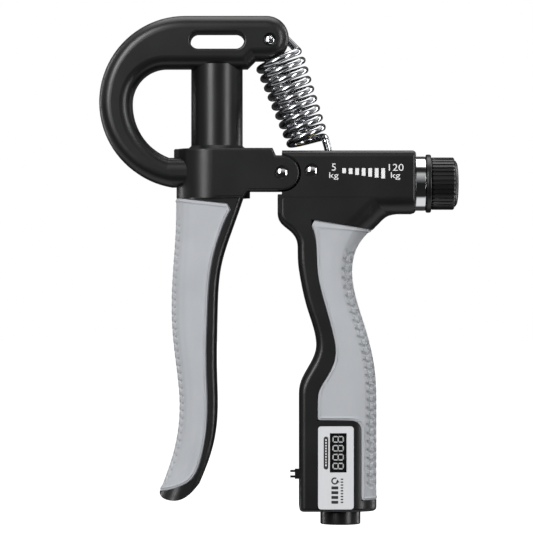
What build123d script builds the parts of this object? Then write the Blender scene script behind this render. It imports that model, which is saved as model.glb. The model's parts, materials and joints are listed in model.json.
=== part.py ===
"""Adjustable ring-frame hand exerciser with a tension knob and a repetition counter.

The model is drawn about the pivot axis: +X to the palm side, +Y to the rear, +Z up, and y = 0 is the
mid-plane that splits the palm case. It is saved with the origin at the middle of the palm grip.
"""

from build123d import *
from math import atan, cos, degrees, hypot, pi, radians, sin
import os

# ---- Driving dimensions, in millimetres and degrees ---------------------------------------------

GRIP_CENTRE_X, GRIP_CENTRE_Z = 18.0, -41.0  # middle of the palm grip, seen from the pivot

HALF_DEPTH = 12.0          # palm case and collar, each side of the mid-plane
RUNNING_GAP = 0.3          # between pieces that move past each other
SHAFT_GAP = 0.05           # radial clearance of a turning or sliding shaft
FIT_GAP = 0.1              # between a cover or board and its pocket

# Barrel of the palm case
BARREL_TOP_Z, BARREL_BOTTOM_Z, BARREL_END_X = 7.3, -13.1, 43.3
BARREL_TOP_ROUND, BARREL_BOTTOM_ROUND, BARREL_END_ROUND = 2.0, 5.5, 1.2
SCREW_AXIS_Z = -3.2        # lead screw, knob and collar
CAVITY_START_X, CAVITY_END_X = 11.3, 39.6
CHANNEL_HALF_WIDTH, CHANNEL_FLOOR_Z, DEEP_CHANNEL_FLOOR_Z = 7.8, 3.6, -0.3  # where the coil dips in

# Handle of the palm case
HANDLE_BOTTOM_Z = -109.5
HANDLE_LEFT_X, HANDLE_RIGHT_X = 5.6, 30.7
HANDLE_EDGE_ROUND, HANDLE_PALM_ROUND, HANDLE_FOOT_ROUND = 2.0, 8.0, 1.2
CASE_LEFT_X = -1.4         # upper left edge of the case, under the pivot
GRIP_WALL, GRIP_SKIN = 2.0, 1.6   # soft sleeve: at the palm side, and on the two faces
NOTCH_LEFT_X, NOTCH_RIGHT_X, NOTCH_TOP_Z, NOTCH_ROUND = 11.3, 25.5, -80.0, 3.0  # round the label
HOLLOW_HALF_DEPTH = 7.5

# Case screws: the first shows at the front, the others enter from the rear
CASE_SCREWS = [(9.6, 0.6), (8.4, -27.0), (9.0, -84.0), (8.7, -105.6)]
CASE_SCREW_RADIUS, CASE_NUT_RADIUS, SCREW_BOSS = 1.2, 2.0, 2.6
REAR_SEAT_Y, SCREW_END, NUT_START, NUT_END = 8.6, 8.0, 5.0, 8.6

# Pivot
PIN_RADIUS, PIN_HEAD_RADIUS, HEAD_HEIGHT = 1.5, 2.05, 0.7
HEAD_RECESS_RADIUS, HEAD_RECESS_DEPTH = 2.4, 0.6
BUSH_RADIUS, TONGUE_RADIUS, EAR_RADIUS = 2.4, 4.6, 5.7
TONGUE_HALF_WIDTH = 5.7

# Ring frame, top bar, post and collar
FRAME_HALF_DEPTH, FRAME_ROUND = 8.5, 4.0
RING_X, RING_Z, RING_RADIUS = -31.4, 23.2, 28.0
BAR_TOP_Z, BAR_BOTTOM_Z = 51.2, 34.2
BAR_END_X, BAR_END_Z, BAR_END_RADIUS = -5.0, 44.0, 7.2
SLOT_X, SLOT_Z, SLOT_LENGTH, SLOT_WIDTH, SLOT_ROUND = -21.1, 43.05, 17.6, 5.4, 1.0
POST_X, POST_RADIUS, POST_CORE_RADIUS, POST_FOOT, POST_TOP_LAP = -21.2, 8.4, 4.0, 1.0, 1.4
COLLAR_X, COLLAR_RADIUS, COLLAR_TOP_Z, COLLAR_BOTTOM_Z, COLLAR_ROUND = -22.4, 12.0, 8.1, -8.0, 0.8
CORNER_REACH, CORNER_TOP_Z, CORNER_BOTTOM_Z, CORNER_HALF_DEPTH, CORNER_ROUND = 0.7, 7.95, 3.6, 4.4, 0.6
LEVER_HALF_DEPTH, LEVER_OUTER_ROUND, LEVER_INNER_ROUND = 11.0, 6.5, 1.6
CLEVIS_SLOT_END_X = -6.9   # left wall of the slot that takes the tongue

# Spring
PIN_X, PIN_Z, SPRING_PIN_RADIUS = -3.9, 43.3, 1.4
PIN_SEAT_DEPTH, PIN_SEAT_RADIUS, PIN_NUT_DEPTH, PIN_NUT_ROOM = 1.4, 2.2, 2.2, 2.6
HOOK_X, HOOK_Z, HOOK_PIN_RADIUS = 15.2, 3.6, 1.2
WIRE = 2.4
COIL_BOTTOM_X, COIL_BOTTOM_Z, COIL_BOTTOM_RADIUS = 8.1, 11.7, 5.8
COIL_TOP_X, COIL_TOP_Z, COIL_TOP_RADIUS = -0.55, 36.3, 7.05
COIL_PITCH = 3.2
LOWER_EYE_RADIUS, UPPER_EYE_RADIUS = 2.6, 4.2
HOOK_SLOT_HALF_WIDTH = 1.75

# Lead screw, nut and knob
LEAD_SCREW_RADIUS, JOURNAL_RADIUS, JOURNAL_START_X = 2.5, 1.4, 7.6
NUT_LENGTH, NUT_HALF_WIDTH, NUT_BOTTOM_Z, NUT_TOP_Z = 6.0, 4.8, -7.6, 5.6
BARREL_COLLAR_RADIUS, BARREL_COLLAR_LENGTH = 8.85, 3.4
SPIGOT_RADIUS, SPIGOT_LENGTH = 5.6, 1.2
FLANGE_RADIUS, FLANGE_LENGTH = 9.5, 1.7
KNOB_RADIUS, KNOB_LENGTH, KNOB_RIBS, RIB_DEPTH = 8.55, 7.6, 36, 0.5
CAP_HEIGHT, CAP_TOP_RADIUS = 1.4, 6.1
CROSS_PIN_RADIUS, CROSS_PIN_REACH = 1.0, 6.5
SHAFT_END = 1.5            # the lead screw stops this far inside the knob

# Counter block at the foot of the handle
LABEL_LEFT_X, LABEL_RIGHT_X, LABEL_TOP_Z, LABEL_BOTTOM_Z = 11.6, 23.1, -81.8, -108.6
LABEL_THICKNESS, LABEL_CORNER = 0.8, 1.0
WINDOW_LEFT_X, WINDOW_RIGHT_X, WINDOW_TOP_Z, WINDOW_BOTTOM_Z = 15.4, 20.8, -84.0, -96.7
BOARD_BOTTOM_Z, SPRING_SHELF_Z = -105.0, -98.6
DISPLAY_LOW_Z, DISPLAY_HIGH_Z, DISPLAY_FRONT_Y, DISPLAY_BACK_Y = -98.0, -83.4, -11.0, -9.8
BOARD_FRONT_Y, BOARD_BACK_Y = -8.2, -7.2
CELL_X, CELL_Z, CELL_RADIUS, CELL_FRONT_Y, CELL_BACK_Y = 17.2, -91.0, 5.8, 4.8, 7.9
COVER_RADIUS, COVER_THICKNESS = 7.4, 1.8
TRIGGER_Z, TRIGGER_TIP_X, PRONG_SPACING = -97.8, 2.7, 1.8
SHOULDER_START_X, SHOULDER_END_X, SWITCH_START_X, SWITCH_END_X = 7.2, 8.2, 10.4, 12.5
RESET_X, RESET_RADIUS, RESET_BOTTOM_Z, RESET_TRAVEL = 19.05, 6.55, -114.1, 1.5
SPINDLE_RADIUS, CLIP_THICKNESS = 2.0, 0.6

# Setting scale on the barrel
BAR_COUNT, BAR_START_X, BAR_PITCH, BAR_WIDTH, SCALE_TOP_Z = 7, 19.4, 2.1, 1.2, 1.5
SHORT_BAR, LONG_BAR, PRINT_THICKNESS = 1.6, 3.3, 0.06


# ---- Small helpers -------------------------------------------------------------------------------

def block(x, y, z):
    """A box between pairs of limits."""
    corner = (Align.MIN, Align.MIN, Align.MIN)
    return Pos(x[0], y[0], z[0]) * Box(x[1] - x[0], y[1] - y[0], z[1] - z[0], align=corner)


def rod(start, end, radius, end_radius=None):
    """A round rod or cone between two points."""
    start, end = Vector(start), Vector(end)
    length = (end - start).length
    align = (Align.CENTER, Align.CENTER, Align.MIN)
    if end_radius is None:
        shape = Cylinder(radius, length, align=align)
    else:
        shape = Cone(radius, end_radius, length, align=align)
    return Plane(origin=start, z_dir=end - start) * shape


def plate(face, low, high):
    """An X-Z outline made solid between two depths."""
    return extrude(Plane.XZ.offset(-low) * face, amount=low - high)


def disc(x, z, radius):
    """A round X-Z outline."""
    return Pos(x, z) * Circle(radius)


def face_edges(solid, depth, keep):
    """The edges of the front and rear faces of a plate whose middle passes a test."""
    picked = ShapeList()
    for edge in solid.edges():
        middle = edge.position_at(0.5)
        ends = [abs(abs(edge.position_at(t).Y) - depth) < 1e-4 for t in (0, 0.5, 1)]
        if all(ends) and keep(middle.X, middle.Z):
            picked.append(edge)
    return picked


def ring_path(x, z, radius, start_angle, sweep_angle):
    """A round stretch of wire in the mid-plane."""
    arc = CenterArc((x, z), radius, start_angle, sweep_angle)
    return Plane.XZ * arc


def wire_along(path):
    """Round spring wire along a path that starts square to its section."""
    start = Plane(origin=path @ 0, z_dir=path % 0)
    return sweep(start * Circle(WIRE / 2), path=path)


parts = {}


# ---- Palm case: outlines --------------------------------------------------------------------------

def handle_form(inset, skin):
    """The handle with its rounded faces: inset moves the palm side in, skin moves both faces in."""
    foot = HANDLE_BOTTOM_Z - 6
    left = Spline(
        (HANDLE_LEFT_X, -72.0), (7.7, -64.9), (11.2, -57.2), (10.9, -52.4), (8.2, -43.5),
        (5.7, -32.0), (5.2, -24.0), tangents=[(0, 1), (0, 1)])
    shoulder = Spline((5.2, -24.0), (2.6, -18.5), (CASE_LEFT_X, -12.6), tangents=[(0, 1), (0, 1)])
    palm = Spline(
        (HANDLE_RIGHT_X - inset, -75.0), (30.0 - inset, -62.5), (25.9 - inset, -46.5),
        (22.9 - inset, -34.0), (24.3 - inset, -24.3), (31.4 - inset, -16.4), (39.0 - inset, -13.1),
        tangents=[(0, 1), (1, 0)])
    outline = make_face([
        left, shoulder, palm,
        Line((CASE_LEFT_X, -12.6), (CASE_LEFT_X, -8.0)),
        Line((CASE_LEFT_X, -8.0), (39.0 - inset, -8.0)),
        Line((39.0 - inset, -8.0), (39.0 - inset, -13.1)),
        Line((HANDLE_RIGHT_X - inset, -75.0), (HANDLE_RIGHT_X - inset, foot)),
        Line((HANDLE_RIGHT_X - inset, foot), (HANDLE_LEFT_X, foot)),
        Line((HANDLE_LEFT_X, foot), (HANDLE_LEFT_X, -72.0)),
    ])
    depth = HALF_DEPTH - skin
    solid = plate(outline, -depth, depth)
    palm_edges = face_edges(
        solid, depth, lambda x, z: -100 < z < -13 and x > 18 or x > 30 - inset and z < -13)
    solid = fillet(palm_edges, HANDLE_PALM_ROUND - skin)
    left_edges = face_edges(solid, depth, lambda x, z: x < 12 and -100 < z < -9)
    solid = fillet(left_edges, HANDLE_EDGE_ROUND)
    solid &= block((-20, 60), (-20, 20), (HANDLE_BOTTOM_Z, 0))
    return fillet(solid.faces().sort_by(Axis.Z)[0].edges(), HANDLE_FOOT_ROUND)


def palm_grip_outline():
    """Where the soft sleeve covers the handle, seen from the front."""
    edge = Spline(
        (9.4, -17.2), (10.9, -24.0), (11.3, -31.9), (13.7, -42.5), (16.4, -52.5), (17.1, -58.0),
        (15.2, -64.3), (11.9, -70.0), (11.3, -74.5), tangents=[(1, -2), (0, -1)])
    corners = Polyline(
        (NOTCH_LEFT_X, -74.5), (NOTCH_LEFT_X, NOTCH_TOP_Z), (NOTCH_RIGHT_X, NOTCH_TOP_Z),
        (NOTCH_RIGHT_X, -106.0), (45.0, -105.6), (45.0, -21.0), (9.4, -15.0), (9.4, -17.2))
    outline = make_face([edge, corners])
    inner_corner = outline.vertices().sort_by_distance((NOTCH_RIGHT_X, NOTCH_TOP_Z, 0))[0]
    return fillet(inner_corner, NOTCH_ROUND)


def barrel_form():
    """The barrel across the top of the handle, with its end spigot."""
    low, high = (BARREL_BOTTOM_Z, BARREL_TOP_Z)
    solid = block((0, BARREL_END_X), (-HALF_DEPTH, HALF_DEPTH), (low, high))
    solid = fillet(solid.edges().filter_by(Axis.X).group_by(Axis.Z)[-1], BARREL_TOP_ROUND)
    solid = fillet(solid.edges().filter_by(Axis.X).group_by(Axis.Z)[0], BARREL_BOTTOM_ROUND)
    solid = fillet(solid.faces().sort_by(Axis.X)[-1].edges(), BARREL_END_ROUND)
    spigot = rod((BARREL_END_X - 1, 0, SCREW_AXIS_Z), (BARREL_END_X + SPIGOT_LENGTH, 0, SCREW_AXIS_Z),
                 SPIGOT_RADIUS)
    corner = block((CASE_LEFT_X, 0), (-HALF_DEPTH, HALF_DEPTH), (BARREL_BOTTOM_Z, -6.9))
    return solid + spigot + corner


def ear_room():
    """What the two ears of the lever sweep, cut from both sides of the case."""
    room = disc(0, 0, EAR_RADIUS + RUNNING_GAP + 0.1)
    beyond = HALF_DEPTH + 1
    front = plate(room, -beyond, -TONGUE_HALF_WIDTH)
    rear = plate(room, TONGUE_HALF_WIDTH, beyond)
    return front + rear


# ---- Palm case: inside ----------------------------------------------------------------------------

POCKET_FRONT_Y = -HALF_DEPTH + LABEL_THICKNESS


def handle_hollow():
    """The space inside the two shells of the handle, with bosses left round the screws."""
    upper = make_face(Polyline(
        (11.0, -22.0), (19.0, -22.0), (18.0, -34.0), (24.0, -60.0), (26.0, -77.0), (13.5, -77.0),
        (13.5, -70.0), (18.2, -60.0), (12.0, -36.0), (11.0, -22.0)))
    hollow = plate(upper, -HOLLOW_HALF_DEPTH, HOLLOW_HALF_DEPTH)
    for x, z in CASE_SCREWS:
        hollow -= rod((x, -HALF_DEPTH, z), (x, HALF_DEPTH, z), SCREW_BOSS)
    return hollow


def counter_pocket():
    """Room for the label, window, display, board, cell, switch and reset spindle."""
    label = block((LABEL_LEFT_X - FIT_GAP, LABEL_RIGHT_X + FIT_GAP), (-20, POCKET_FRONT_Y),
                  (LABEL_BOTTOM_Z - FIT_GAP, LABEL_TOP_Z + FIT_GAP))
    room = block((12.6, 22.1), (POCKET_FRONT_Y - 1, 4.6), (BOARD_BOTTOM_Z, -82.8))
    room -= block((15.5, 23.0), (-3.0, 5.0), (SPRING_SHELF_Z, SPRING_SHELF_Z + 1.0))
    cell = rod((CELL_X, 0, CELL_Z), (CELL_X, HALF_DEPTH + 1, CELL_Z), CELL_RADIUS + 0.2)
    cover = rod((CELL_X, HALF_DEPTH - COVER_THICKNESS, CELL_Z), (CELL_X, HALF_DEPTH + 1, CELL_Z),
                COVER_RADIUS + FIT_GAP)
    trigger = block((HANDLE_LEFT_X + 1.2, 12.7), (-2.2, 2.2), (TRIGGER_Z - 3.0, TRIGGER_Z + 3.0))
    mouth = block((0, 12.7), (-1.6, 1.6), (TRIGGER_Z - 1.9, TRIGGER_Z + 1.9))
    recess_top = HANDLE_BOTTOM_Z + RESET_TRAVEL + 0.4
    recess = rod((RESET_X, 0, HANDLE_BOTTOM_Z - 1), (RESET_X, 0, recess_top), RESET_RADIUS + RUNNING_GAP)
    bore = rod((RESET_X, 0, HANDLE_BOTTOM_Z), (RESET_X, 0, BOARD_BOTTOM_Z + 1),
               SPINDLE_RADIUS + SHAFT_GAP)
    return label + room + cell + cover + trigger + mouth + recess + bore


def barrel_hollow():
    """Room for the nut, the spring's end and the lead screw."""
    axis = SCREW_AXIS_Z
    nut_half, nut_low = NUT_HALF_WIDTH + RUNNING_GAP, NUT_BOTTOM_Z - RUNNING_GAP
    length, width = (CAVITY_START_X, CAVITY_END_X), (-CHANNEL_HALF_WIDTH, CHANNEL_HALF_WIDTH)
    nut_way = block(length, (-nut_half, nut_half), (nut_low, CHANNEL_FLOOR_Z))
    channel = block((-10, CAVITY_END_X), width, (CHANNEL_FLOOR_Z, 20))
    low_channel = block(length, width, (DEEP_CHANNEL_FLOOR_Z, 20))
    screw_way = rod((CAVITY_START_X, 0, axis), (60, 0, axis), LEAD_SCREW_RADIUS + SHAFT_GAP)
    journal_way = rod((JOURNAL_START_X - RUNNING_GAP, 0, axis), (CAVITY_START_X + 1, 0, axis),
                      JOURNAL_RADIUS + SHAFT_GAP)
    return nut_way + channel + low_channel + screw_way + journal_way


def screw_side(index):
    """Where a case screw enters: -1 for the front, 1 for the rear, and how far out its head sits."""
    return (-1, HALF_DEPTH - HEAD_RECESS_DEPTH) if index == 0 else (1, REAR_SEAT_Y)


def screw_ways():
    """Holes, head seats and nut rooms for the case screws."""
    ways = []
    for index, (x, z) in enumerate(CASE_SCREWS):
        side, seat = screw_side(index)
        shank_end = -side * REAR_SEAT_Y
        ways.append(rod((x, shank_end, z), (x, side * (HALF_DEPTH + 1), z), CASE_SCREW_RADIUS))
        ways.append(rod((x, side * seat, z), (x, side * (HALF_DEPTH + 1), z), HEAD_RECESS_RADIUS))
        ways.append(rod((x, -side * NUT_START, z), (x, -side * NUT_END, z), CASE_NUT_RADIUS))
    return ways


# ---- Palm arm --------------------------------------------------------------------------------------

def make_palm_arm():
    """The two shells, the soft sleeve, the screws and the barrel's end."""
    outer = handle_form(0, 0)
    inner = handle_form(GRIP_WALL, GRIP_SKIN)
    sleeve_zone = plate(palm_grip_outline(), -20, 20)
    sleeve = (outer & sleeve_zone) - inner
    body = (outer - sleeve_zone) + inner + barrel_form()
    tongue = plate(disc(0, 0, TONGUE_RADIUS), -TONGUE_HALF_WIDTH, TONGUE_HALF_WIDTH)
    body = body - ear_room() + tongue
    body -= barrel_hollow()
    body -= rod((0, -20, 0), (0, 20, 0), BUSH_RADIUS)
    body = body - handle_hollow() - counter_pocket() - screw_ways()
    parts["palm_grip_sleeve"] = sleeve
    parts["palm_case_front"] = body & block((-30, 60), (-20, 0), (-130, 20))
    parts["palm_case_rear"] = body & block((-30, 60), (0, 20), (-130, 20))

    parts["pivot_bush"] = plate(disc(0, 0, BUSH_RADIUS) - disc(0, 0, PIN_RADIUS + SHAFT_GAP),
                                -TONGUE_HALF_WIDTH, TONGUE_HALF_WIDTH)
    screws, nuts = [], []
    for index, (x, z) in enumerate(CASE_SCREWS):
        side, seat = screw_side(index)
        shank = rod((x, side * seat, z), (x, -side * SCREW_END, z), CASE_SCREW_RADIUS)
        screws.append(shank + dome_head(x, z, side * seat, side))
        ends = sorted((-side * NUT_START, -side * NUT_END))
        nuts.append(plate(disc(x, z, CASE_NUT_RADIUS) - disc(x, z, CASE_SCREW_RADIUS), *ends))
    parts["case_screws"] = Compound(children=screws)
    parts["case_nuts"] = Compound(children=nuts)

    axis, end = SCREW_AXIS_Z, BARREL_END_X
    collar = rod((end, 0, axis), (end + BARREL_COLLAR_LENGTH, 0, axis), BARREL_COLLAR_RADIUS)
    collar = chamfer(collar.edges().filter_by(GeomType.CIRCLE), 0.3)
    collar -= rod((end - 1, 0, axis), (end + 10, 0, axis), SPIGOT_RADIUS + FIT_GAP / 2)
    parts["barrel_collar"] = collar
    washer_start = end + SPIGOT_LENGTH
    washer = rod((washer_start, 0, axis), (washer_start + 1.2, 0, axis), SPIGOT_RADIUS - 0.2)
    parts["thrust_washer"] = washer - rod((end, 0, axis), (end + 9, 0, axis), LEAD_SCREW_RADIUS + 0.1)
    make_scale_marks()


def dome_head(x, z, seat_y, side):
    """A low dome head that stands on its seat and faces outwards along side."""
    sphere_radius = (PIN_HEAD_RADIUS ** 2 + HEAD_HEIGHT ** 2) / (2 * HEAD_HEIGHT)
    centre_y = seat_y + side * (HEAD_HEIGHT - sphere_radius)
    dome = Pos(x, centre_y, z) * Sphere(sphere_radius)
    return dome & rod((x, seat_y, z), (x, seat_y + side * 2, z), PIN_HEAD_RADIUS)


def make_scale_marks():
    """Seven printed bars that grow towards the strong end of the scale."""
    bars = []
    for index in range(BAR_COUNT):
        x = BAR_START_X + BAR_PITCH * index
        height = SHORT_BAR + (LONG_BAR - SHORT_BAR) * index / (BAR_COUNT - 1)
        bars.append(block((x, x + BAR_WIDTH), (-HALF_DEPTH - PRINT_THICKNESS, -HALF_DEPTH),
                          (SCALE_TOP_Z - height, SCALE_TOP_Z)))
    parts["scale_marks"] = Compound(children=bars)


# ---- Counter ----------------------------------------------------------------------------------------

def make_counter():
    """Label plate, window, display, board, cell, contacts and cover."""
    window = block((WINDOW_LEFT_X, WINDOW_RIGHT_X), (-20, 0), (WINDOW_BOTTOM_Z, WINDOW_TOP_Z))
    front = -HALF_DEPTH - 0.15
    label = block((LABEL_LEFT_X, LABEL_RIGHT_X), (front, POCKET_FRONT_Y), (LABEL_BOTTOM_Z, LABEL_TOP_Z))
    label = fillet(label.edges().filter_by(Axis.Y), LABEL_CORNER)
    parts["counter_label"] = label - window
    parts["display_window"] = window & block((0, 40), (front + 0.1, POCKET_FRONT_Y), (-130, 0))
    height = (DISPLAY_LOW_Z, DISPLAY_HIGH_Z)
    parts["display_panel"] = block((14.4, 21.6), (DISPLAY_FRONT_Y, DISPLAY_BACK_Y), height)
    strips = [block((x, x + 1.2), (DISPLAY_BACK_Y, BOARD_FRONT_Y), height) for x in (14.4, 20.4)]
    parts["contact_strips"] = Compound(children=strips)
    parts["counter_board"] = block((12.8, 21.9), (BOARD_FRONT_Y, BOARD_BACK_Y),
                                   (BOARD_BOTTOM_Z + 0.6, DISPLAY_HIGH_Z + 0.4))

    parts["coin_cell"] = rod((CELL_X, CELL_FRONT_Y, CELL_Z), (CELL_X, CELL_BACK_Y, CELL_Z), CELL_RADIUS)
    post = block((CELL_X - 1.5, CELL_X + 1.5), (BOARD_BACK_Y, CELL_FRONT_Y), (CELL_Z - 0.25, CELL_Z + 0.25))
    rail = block((12.9, 13.3), (BOARD_BACK_Y, CELL_FRONT_Y - 0.6), (CELL_Z + 2.0, CELL_Z + 5.0))
    parts["battery_contacts"] = Compound(children=[post, rail])
    cover_low = HALF_DEPTH - COVER_THICKNESS
    cover = rod((CELL_X, cover_low, CELL_Z), (CELL_X, HALF_DEPTH, CELL_Z), COVER_RADIUS)
    cover += rod((CELL_X, CELL_BACK_Y, CELL_Z), (CELL_X, cover_low, CELL_Z), CELL_RADIUS - 1.0)
    slot = block((CELL_X - 4, CELL_X + 4), (HALF_DEPTH - 0.8, 20), (CELL_Z - 0.7, CELL_Z + 0.7))
    parts["battery_cover"] = cover - slot


def make_trigger():
    """The two-pronged trigger on the inner edge, its return spring and its switch."""
    parts["trigger_switch"] = block((SWITCH_START_X, SWITCH_END_X), (-2.0, 2.0),
                                    (TRIGGER_Z - 2.8, TRIGGER_Z + 2.8))
    trigger = block((TRIGGER_TIP_X + 1.5, SHOULDER_END_X), (-1.3, 1.3), (TRIGGER_Z - 1.6, TRIGGER_Z + 1.6))
    for side in (-1, 1):
        prong_z = TRIGGER_Z + side * PRONG_SPACING / 2
        trigger += block((TRIGGER_TIP_X, TRIGGER_TIP_X + 1.7), (-1.1, 1.1), (prong_z - 0.3, prong_z + 0.3))
    trigger += block((SHOULDER_START_X, SHOULDER_END_X), (-1.9, 1.9), (TRIGGER_Z - 2.6, TRIGGER_Z + 2.6))
    parts["count_trigger"] = trigger
    start, end = SHOULDER_END_X + RUNNING_GAP, SWITCH_START_X - RUNNING_GAP
    spring = rod((start, 0, TRIGGER_Z), (end, 0, TRIGGER_Z), 1.2)
    parts["trigger_spring"] = spring - rod((start - 1, 0, TRIGGER_Z), (end + 1, 0, TRIGGER_Z), 0.8)


def make_reset():
    """The reset knob on its spindle, with the clip that keeps it in and the return spring."""
    knob_top = HANDLE_BOTTOM_Z + FIT_GAP
    socket_floor = knob_top - 1.9
    knob = rod((RESET_X, 0, RESET_BOTTOM_Z), (RESET_X, 0, knob_top), RESET_RADIUS)
    knob = chamfer(knob.edges().filter_by(GeomType.CIRCLE).sort_by(Axis.Z)[0], 0.4)
    socket = rod((RESET_X, 0, socket_floor - RUNNING_GAP), (RESET_X, 0, knob_top + 1),
                 SPINDLE_RADIUS + SHAFT_GAP)
    parts["reset_knob"] = knob - socket
    spindle_top = BOARD_BOTTOM_Z + 2.4
    spindle = rod((RESET_X, 0, socket_floor), (RESET_X, 0, spindle_top), SPINDLE_RADIUS)
    clip_low = BOARD_BOTTOM_Z + FIT_GAP
    clip_high = clip_low + CLIP_THICKNESS
    clip = rod((RESET_X, 0, clip_low), (RESET_X, 0, clip_high), SPINDLE_RADIUS + 0.9)
    clip -= rod((RESET_X, 0, clip_low), (RESET_X, 0, clip_high), SPINDLE_RADIUS - 0.4)
    parts["reset_spindle"] = spindle - clip
    parts["reset_clip"] = clip
    low, high = spindle_top + FIT_GAP, SPRING_SHELF_Z - FIT_GAP
    spring = rod((RESET_X, 0, low), (RESET_X, 0, high), 1.8)
    parts["reset_spring"] = spring - rod((RESET_X, 0, low - 1), (RESET_X, 0, high + 1), 1.3)


# ---- Ring frame and lever ---------------------------------------------------------------------------

def frame_outline():
    """The ring and the top bar, seen from the front; the ring's lower end runs into the collar."""
    bar_end_bottom = (BAR_END_X, BAR_END_Z - BAR_END_RADIUS)
    bar_end_top = (BAR_END_X, BAR_TOP_Z)
    ring_top = (RING_X, BAR_TOP_Z)
    ring_side = (RING_X - RING_RADIUS, RING_Z)
    last = radians(260.8)
    ring_foot = (RING_X + RING_RADIUS * cos(last), RING_Z + RING_RADIUS * sin(last))
    inner_foot, inner_side, inner_top = (-36.7, 5.1), (-48.8, 22.9), (-37.3, BAR_BOTTOM_Z)
    slant = RING_RADIUS * sin(pi / 4)
    return make_face([
        ThreePointArc(bar_end_bottom, (BAR_END_X + BAR_END_RADIUS, BAR_END_Z), bar_end_top),
        Line(bar_end_top, ring_top),
        ThreePointArc(ring_top, (RING_X - slant, RING_Z + slant), ring_side),
        ThreePointArc(ring_side, (RING_X - slant, RING_Z - slant), ring_foot),
        Polyline(ring_foot, (-28.0, -4.4), (-28.0, inner_foot[1]), inner_foot),
        ThreePointArc(inner_foot, (-43.1, 9.2), inner_side),
        ThreePointArc(inner_side, (-45.5, 30.9), inner_top),
        Polyline(inner_top, (-11.2, BAR_BOTTOM_Z), (-8.6, bar_end_bottom[1]), bar_end_bottom),
    ])


def collar_form():
    """The collar under the post, with the ears that reach to the pivot."""
    low, high = COLLAR_BOTTOM_Z, COLLAR_TOP_Z
    barrel = rod((COLLAR_X, 0, low), (COLLAR_X, 0, high), COLLAR_RADIUS)
    ear = EAR_RADIUS
    outline = make_face([
        Polyline((0, ear), (-2.0, ear), (-3.1, high), (COLLAR_X, high), (COLLAR_X, low), (-12.6, low),
                 (-11.0, -ear), (0, -ear)),
        ThreePointArc((0, -ear), (ear, 0), (0, ear)),
    ])
    plates = plate(outline, -HALF_DEPTH, HALF_DEPTH)
    plates = fillet(face_edges(plates, HALF_DEPTH, lambda x, z: x > COLLAR_X + 0.1), COLLAR_ROUND)
    half_gap = TONGUE_HALF_WIDTH + RUNNING_GAP
    slot = block((CLEVIS_SLOT_END_X, 20), (-half_gap, half_gap), (-20, 20))
    barrel = fillet(barrel.edges().filter_by(GeomType.CIRCLE).sort_by(Axis.Z)[-1], COLLAR_ROUND)
    return barrel + plates - slot


def lever_form(inset, skin):
    """The finger lever: inset moves its outer side in, skin moves both faces in."""
    outer = Spline(
        (-34.4 + inset, -2.0), (-34.5 + inset, -17.4), (-35.8 + inset, -39.0), (-35.2 + inset, -55.8),
        (-33.3 + inset, -75.5), (-35.3 + inset, -90.6), (-40.0 + inset, -104.0), (-43.0 + inset, -112.0))
    inner = Spline(
        (-12.4, -7.2), (-16.2, -18.1), (-19.8, -29.7), (-21.1, -46.0), (-21.3, -64.0), (-21.1, -78.5),
        (-23.0, -90.6), (-26.4, -99.6), (-31.0, -112.0))
    outline = make_face([
        outer, inner,
        Line((-34.4 + inset, -2.0), (-12.4, -2.0)),
        Line((-12.4, -2.0), (-12.4, -7.2)),
        Line((-31.0, -112.0), (-43.0 + inset, -112.0)),
    ])
    depth = LEVER_HALF_DEPTH - skin
    solid = plate(outline, -depth, depth)
    outer_edges = face_edges(solid, depth, lambda x, z: x < -30 and -110 < z < -3)
    solid = fillet(outer_edges, LEVER_OUTER_ROUND - skin)
    inner_edges = face_edges(solid, depth, lambda x, z: x > -27 and -110 < z < -3)
    solid = fillet(inner_edges, LEVER_INNER_ROUND)
    below_collar = make_face([
        Polyline((-60, COLLAR_BOTTOM_Z), (-60, -101.0), (-39.8 + inset, -103.3)),
        Spline((-39.8 + inset, -103.3), (-37.0, -105.7 + inset), (-26.0, -99.3),
               tangents=[(0.2, -1), (1, 1.4)]),
        Polyline((-26.0, -99.3), (0, -80), (0, COLLAR_BOTTOM_Z), (-60, COLLAR_BOTTOM_Z)),
    ])
    return solid & plate(below_collar, -20, 20)


def finger_grip_outline():
    """Where the soft grip covers the lever, seen from the front."""
    edge = Spline(
        (-16.6, -12.0), (-19.7, -18.8), (-22.6, -29.0), (-24.1, -46.4), (-24.4, -62.0), (-24.1, -79.0),
        (-26.2, -92.8), (-29.8, -99.6), (-35.7, -102.2), (-44.0, -104.0),
        tangents=[(-0.6, -1), (-1, -0.2)])
    return make_face([edge, Polyline(
        (-44.0, -104.0), (-60.0, -106.0), (-60.0, -8.1), (-33.0, -8.1), (-17.6, -9.8), (-16.6, -12.0))])


def hook_clevis():
    """Room for the spring's upper eye in the end of the top bar, open towards the spring."""
    reach = UPPER_EYE_RADIUS + WIRE / 2 + RUNNING_GAP
    way_out = make_face(Polyline(
        (PIN_X - reach, PIN_Z), (PIN_X - 2.0, PIN_Z - 9), (20, 30), (20, PIN_Z + 2.8),
        (PIN_X, PIN_Z + 2.8), (PIN_X - reach, PIN_Z)))
    return plate(way_out + disc(PIN_X, PIN_Z, reach), -HOOK_SLOT_HALF_WIDTH, HOOK_SLOT_HALF_WIDTH)


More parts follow.
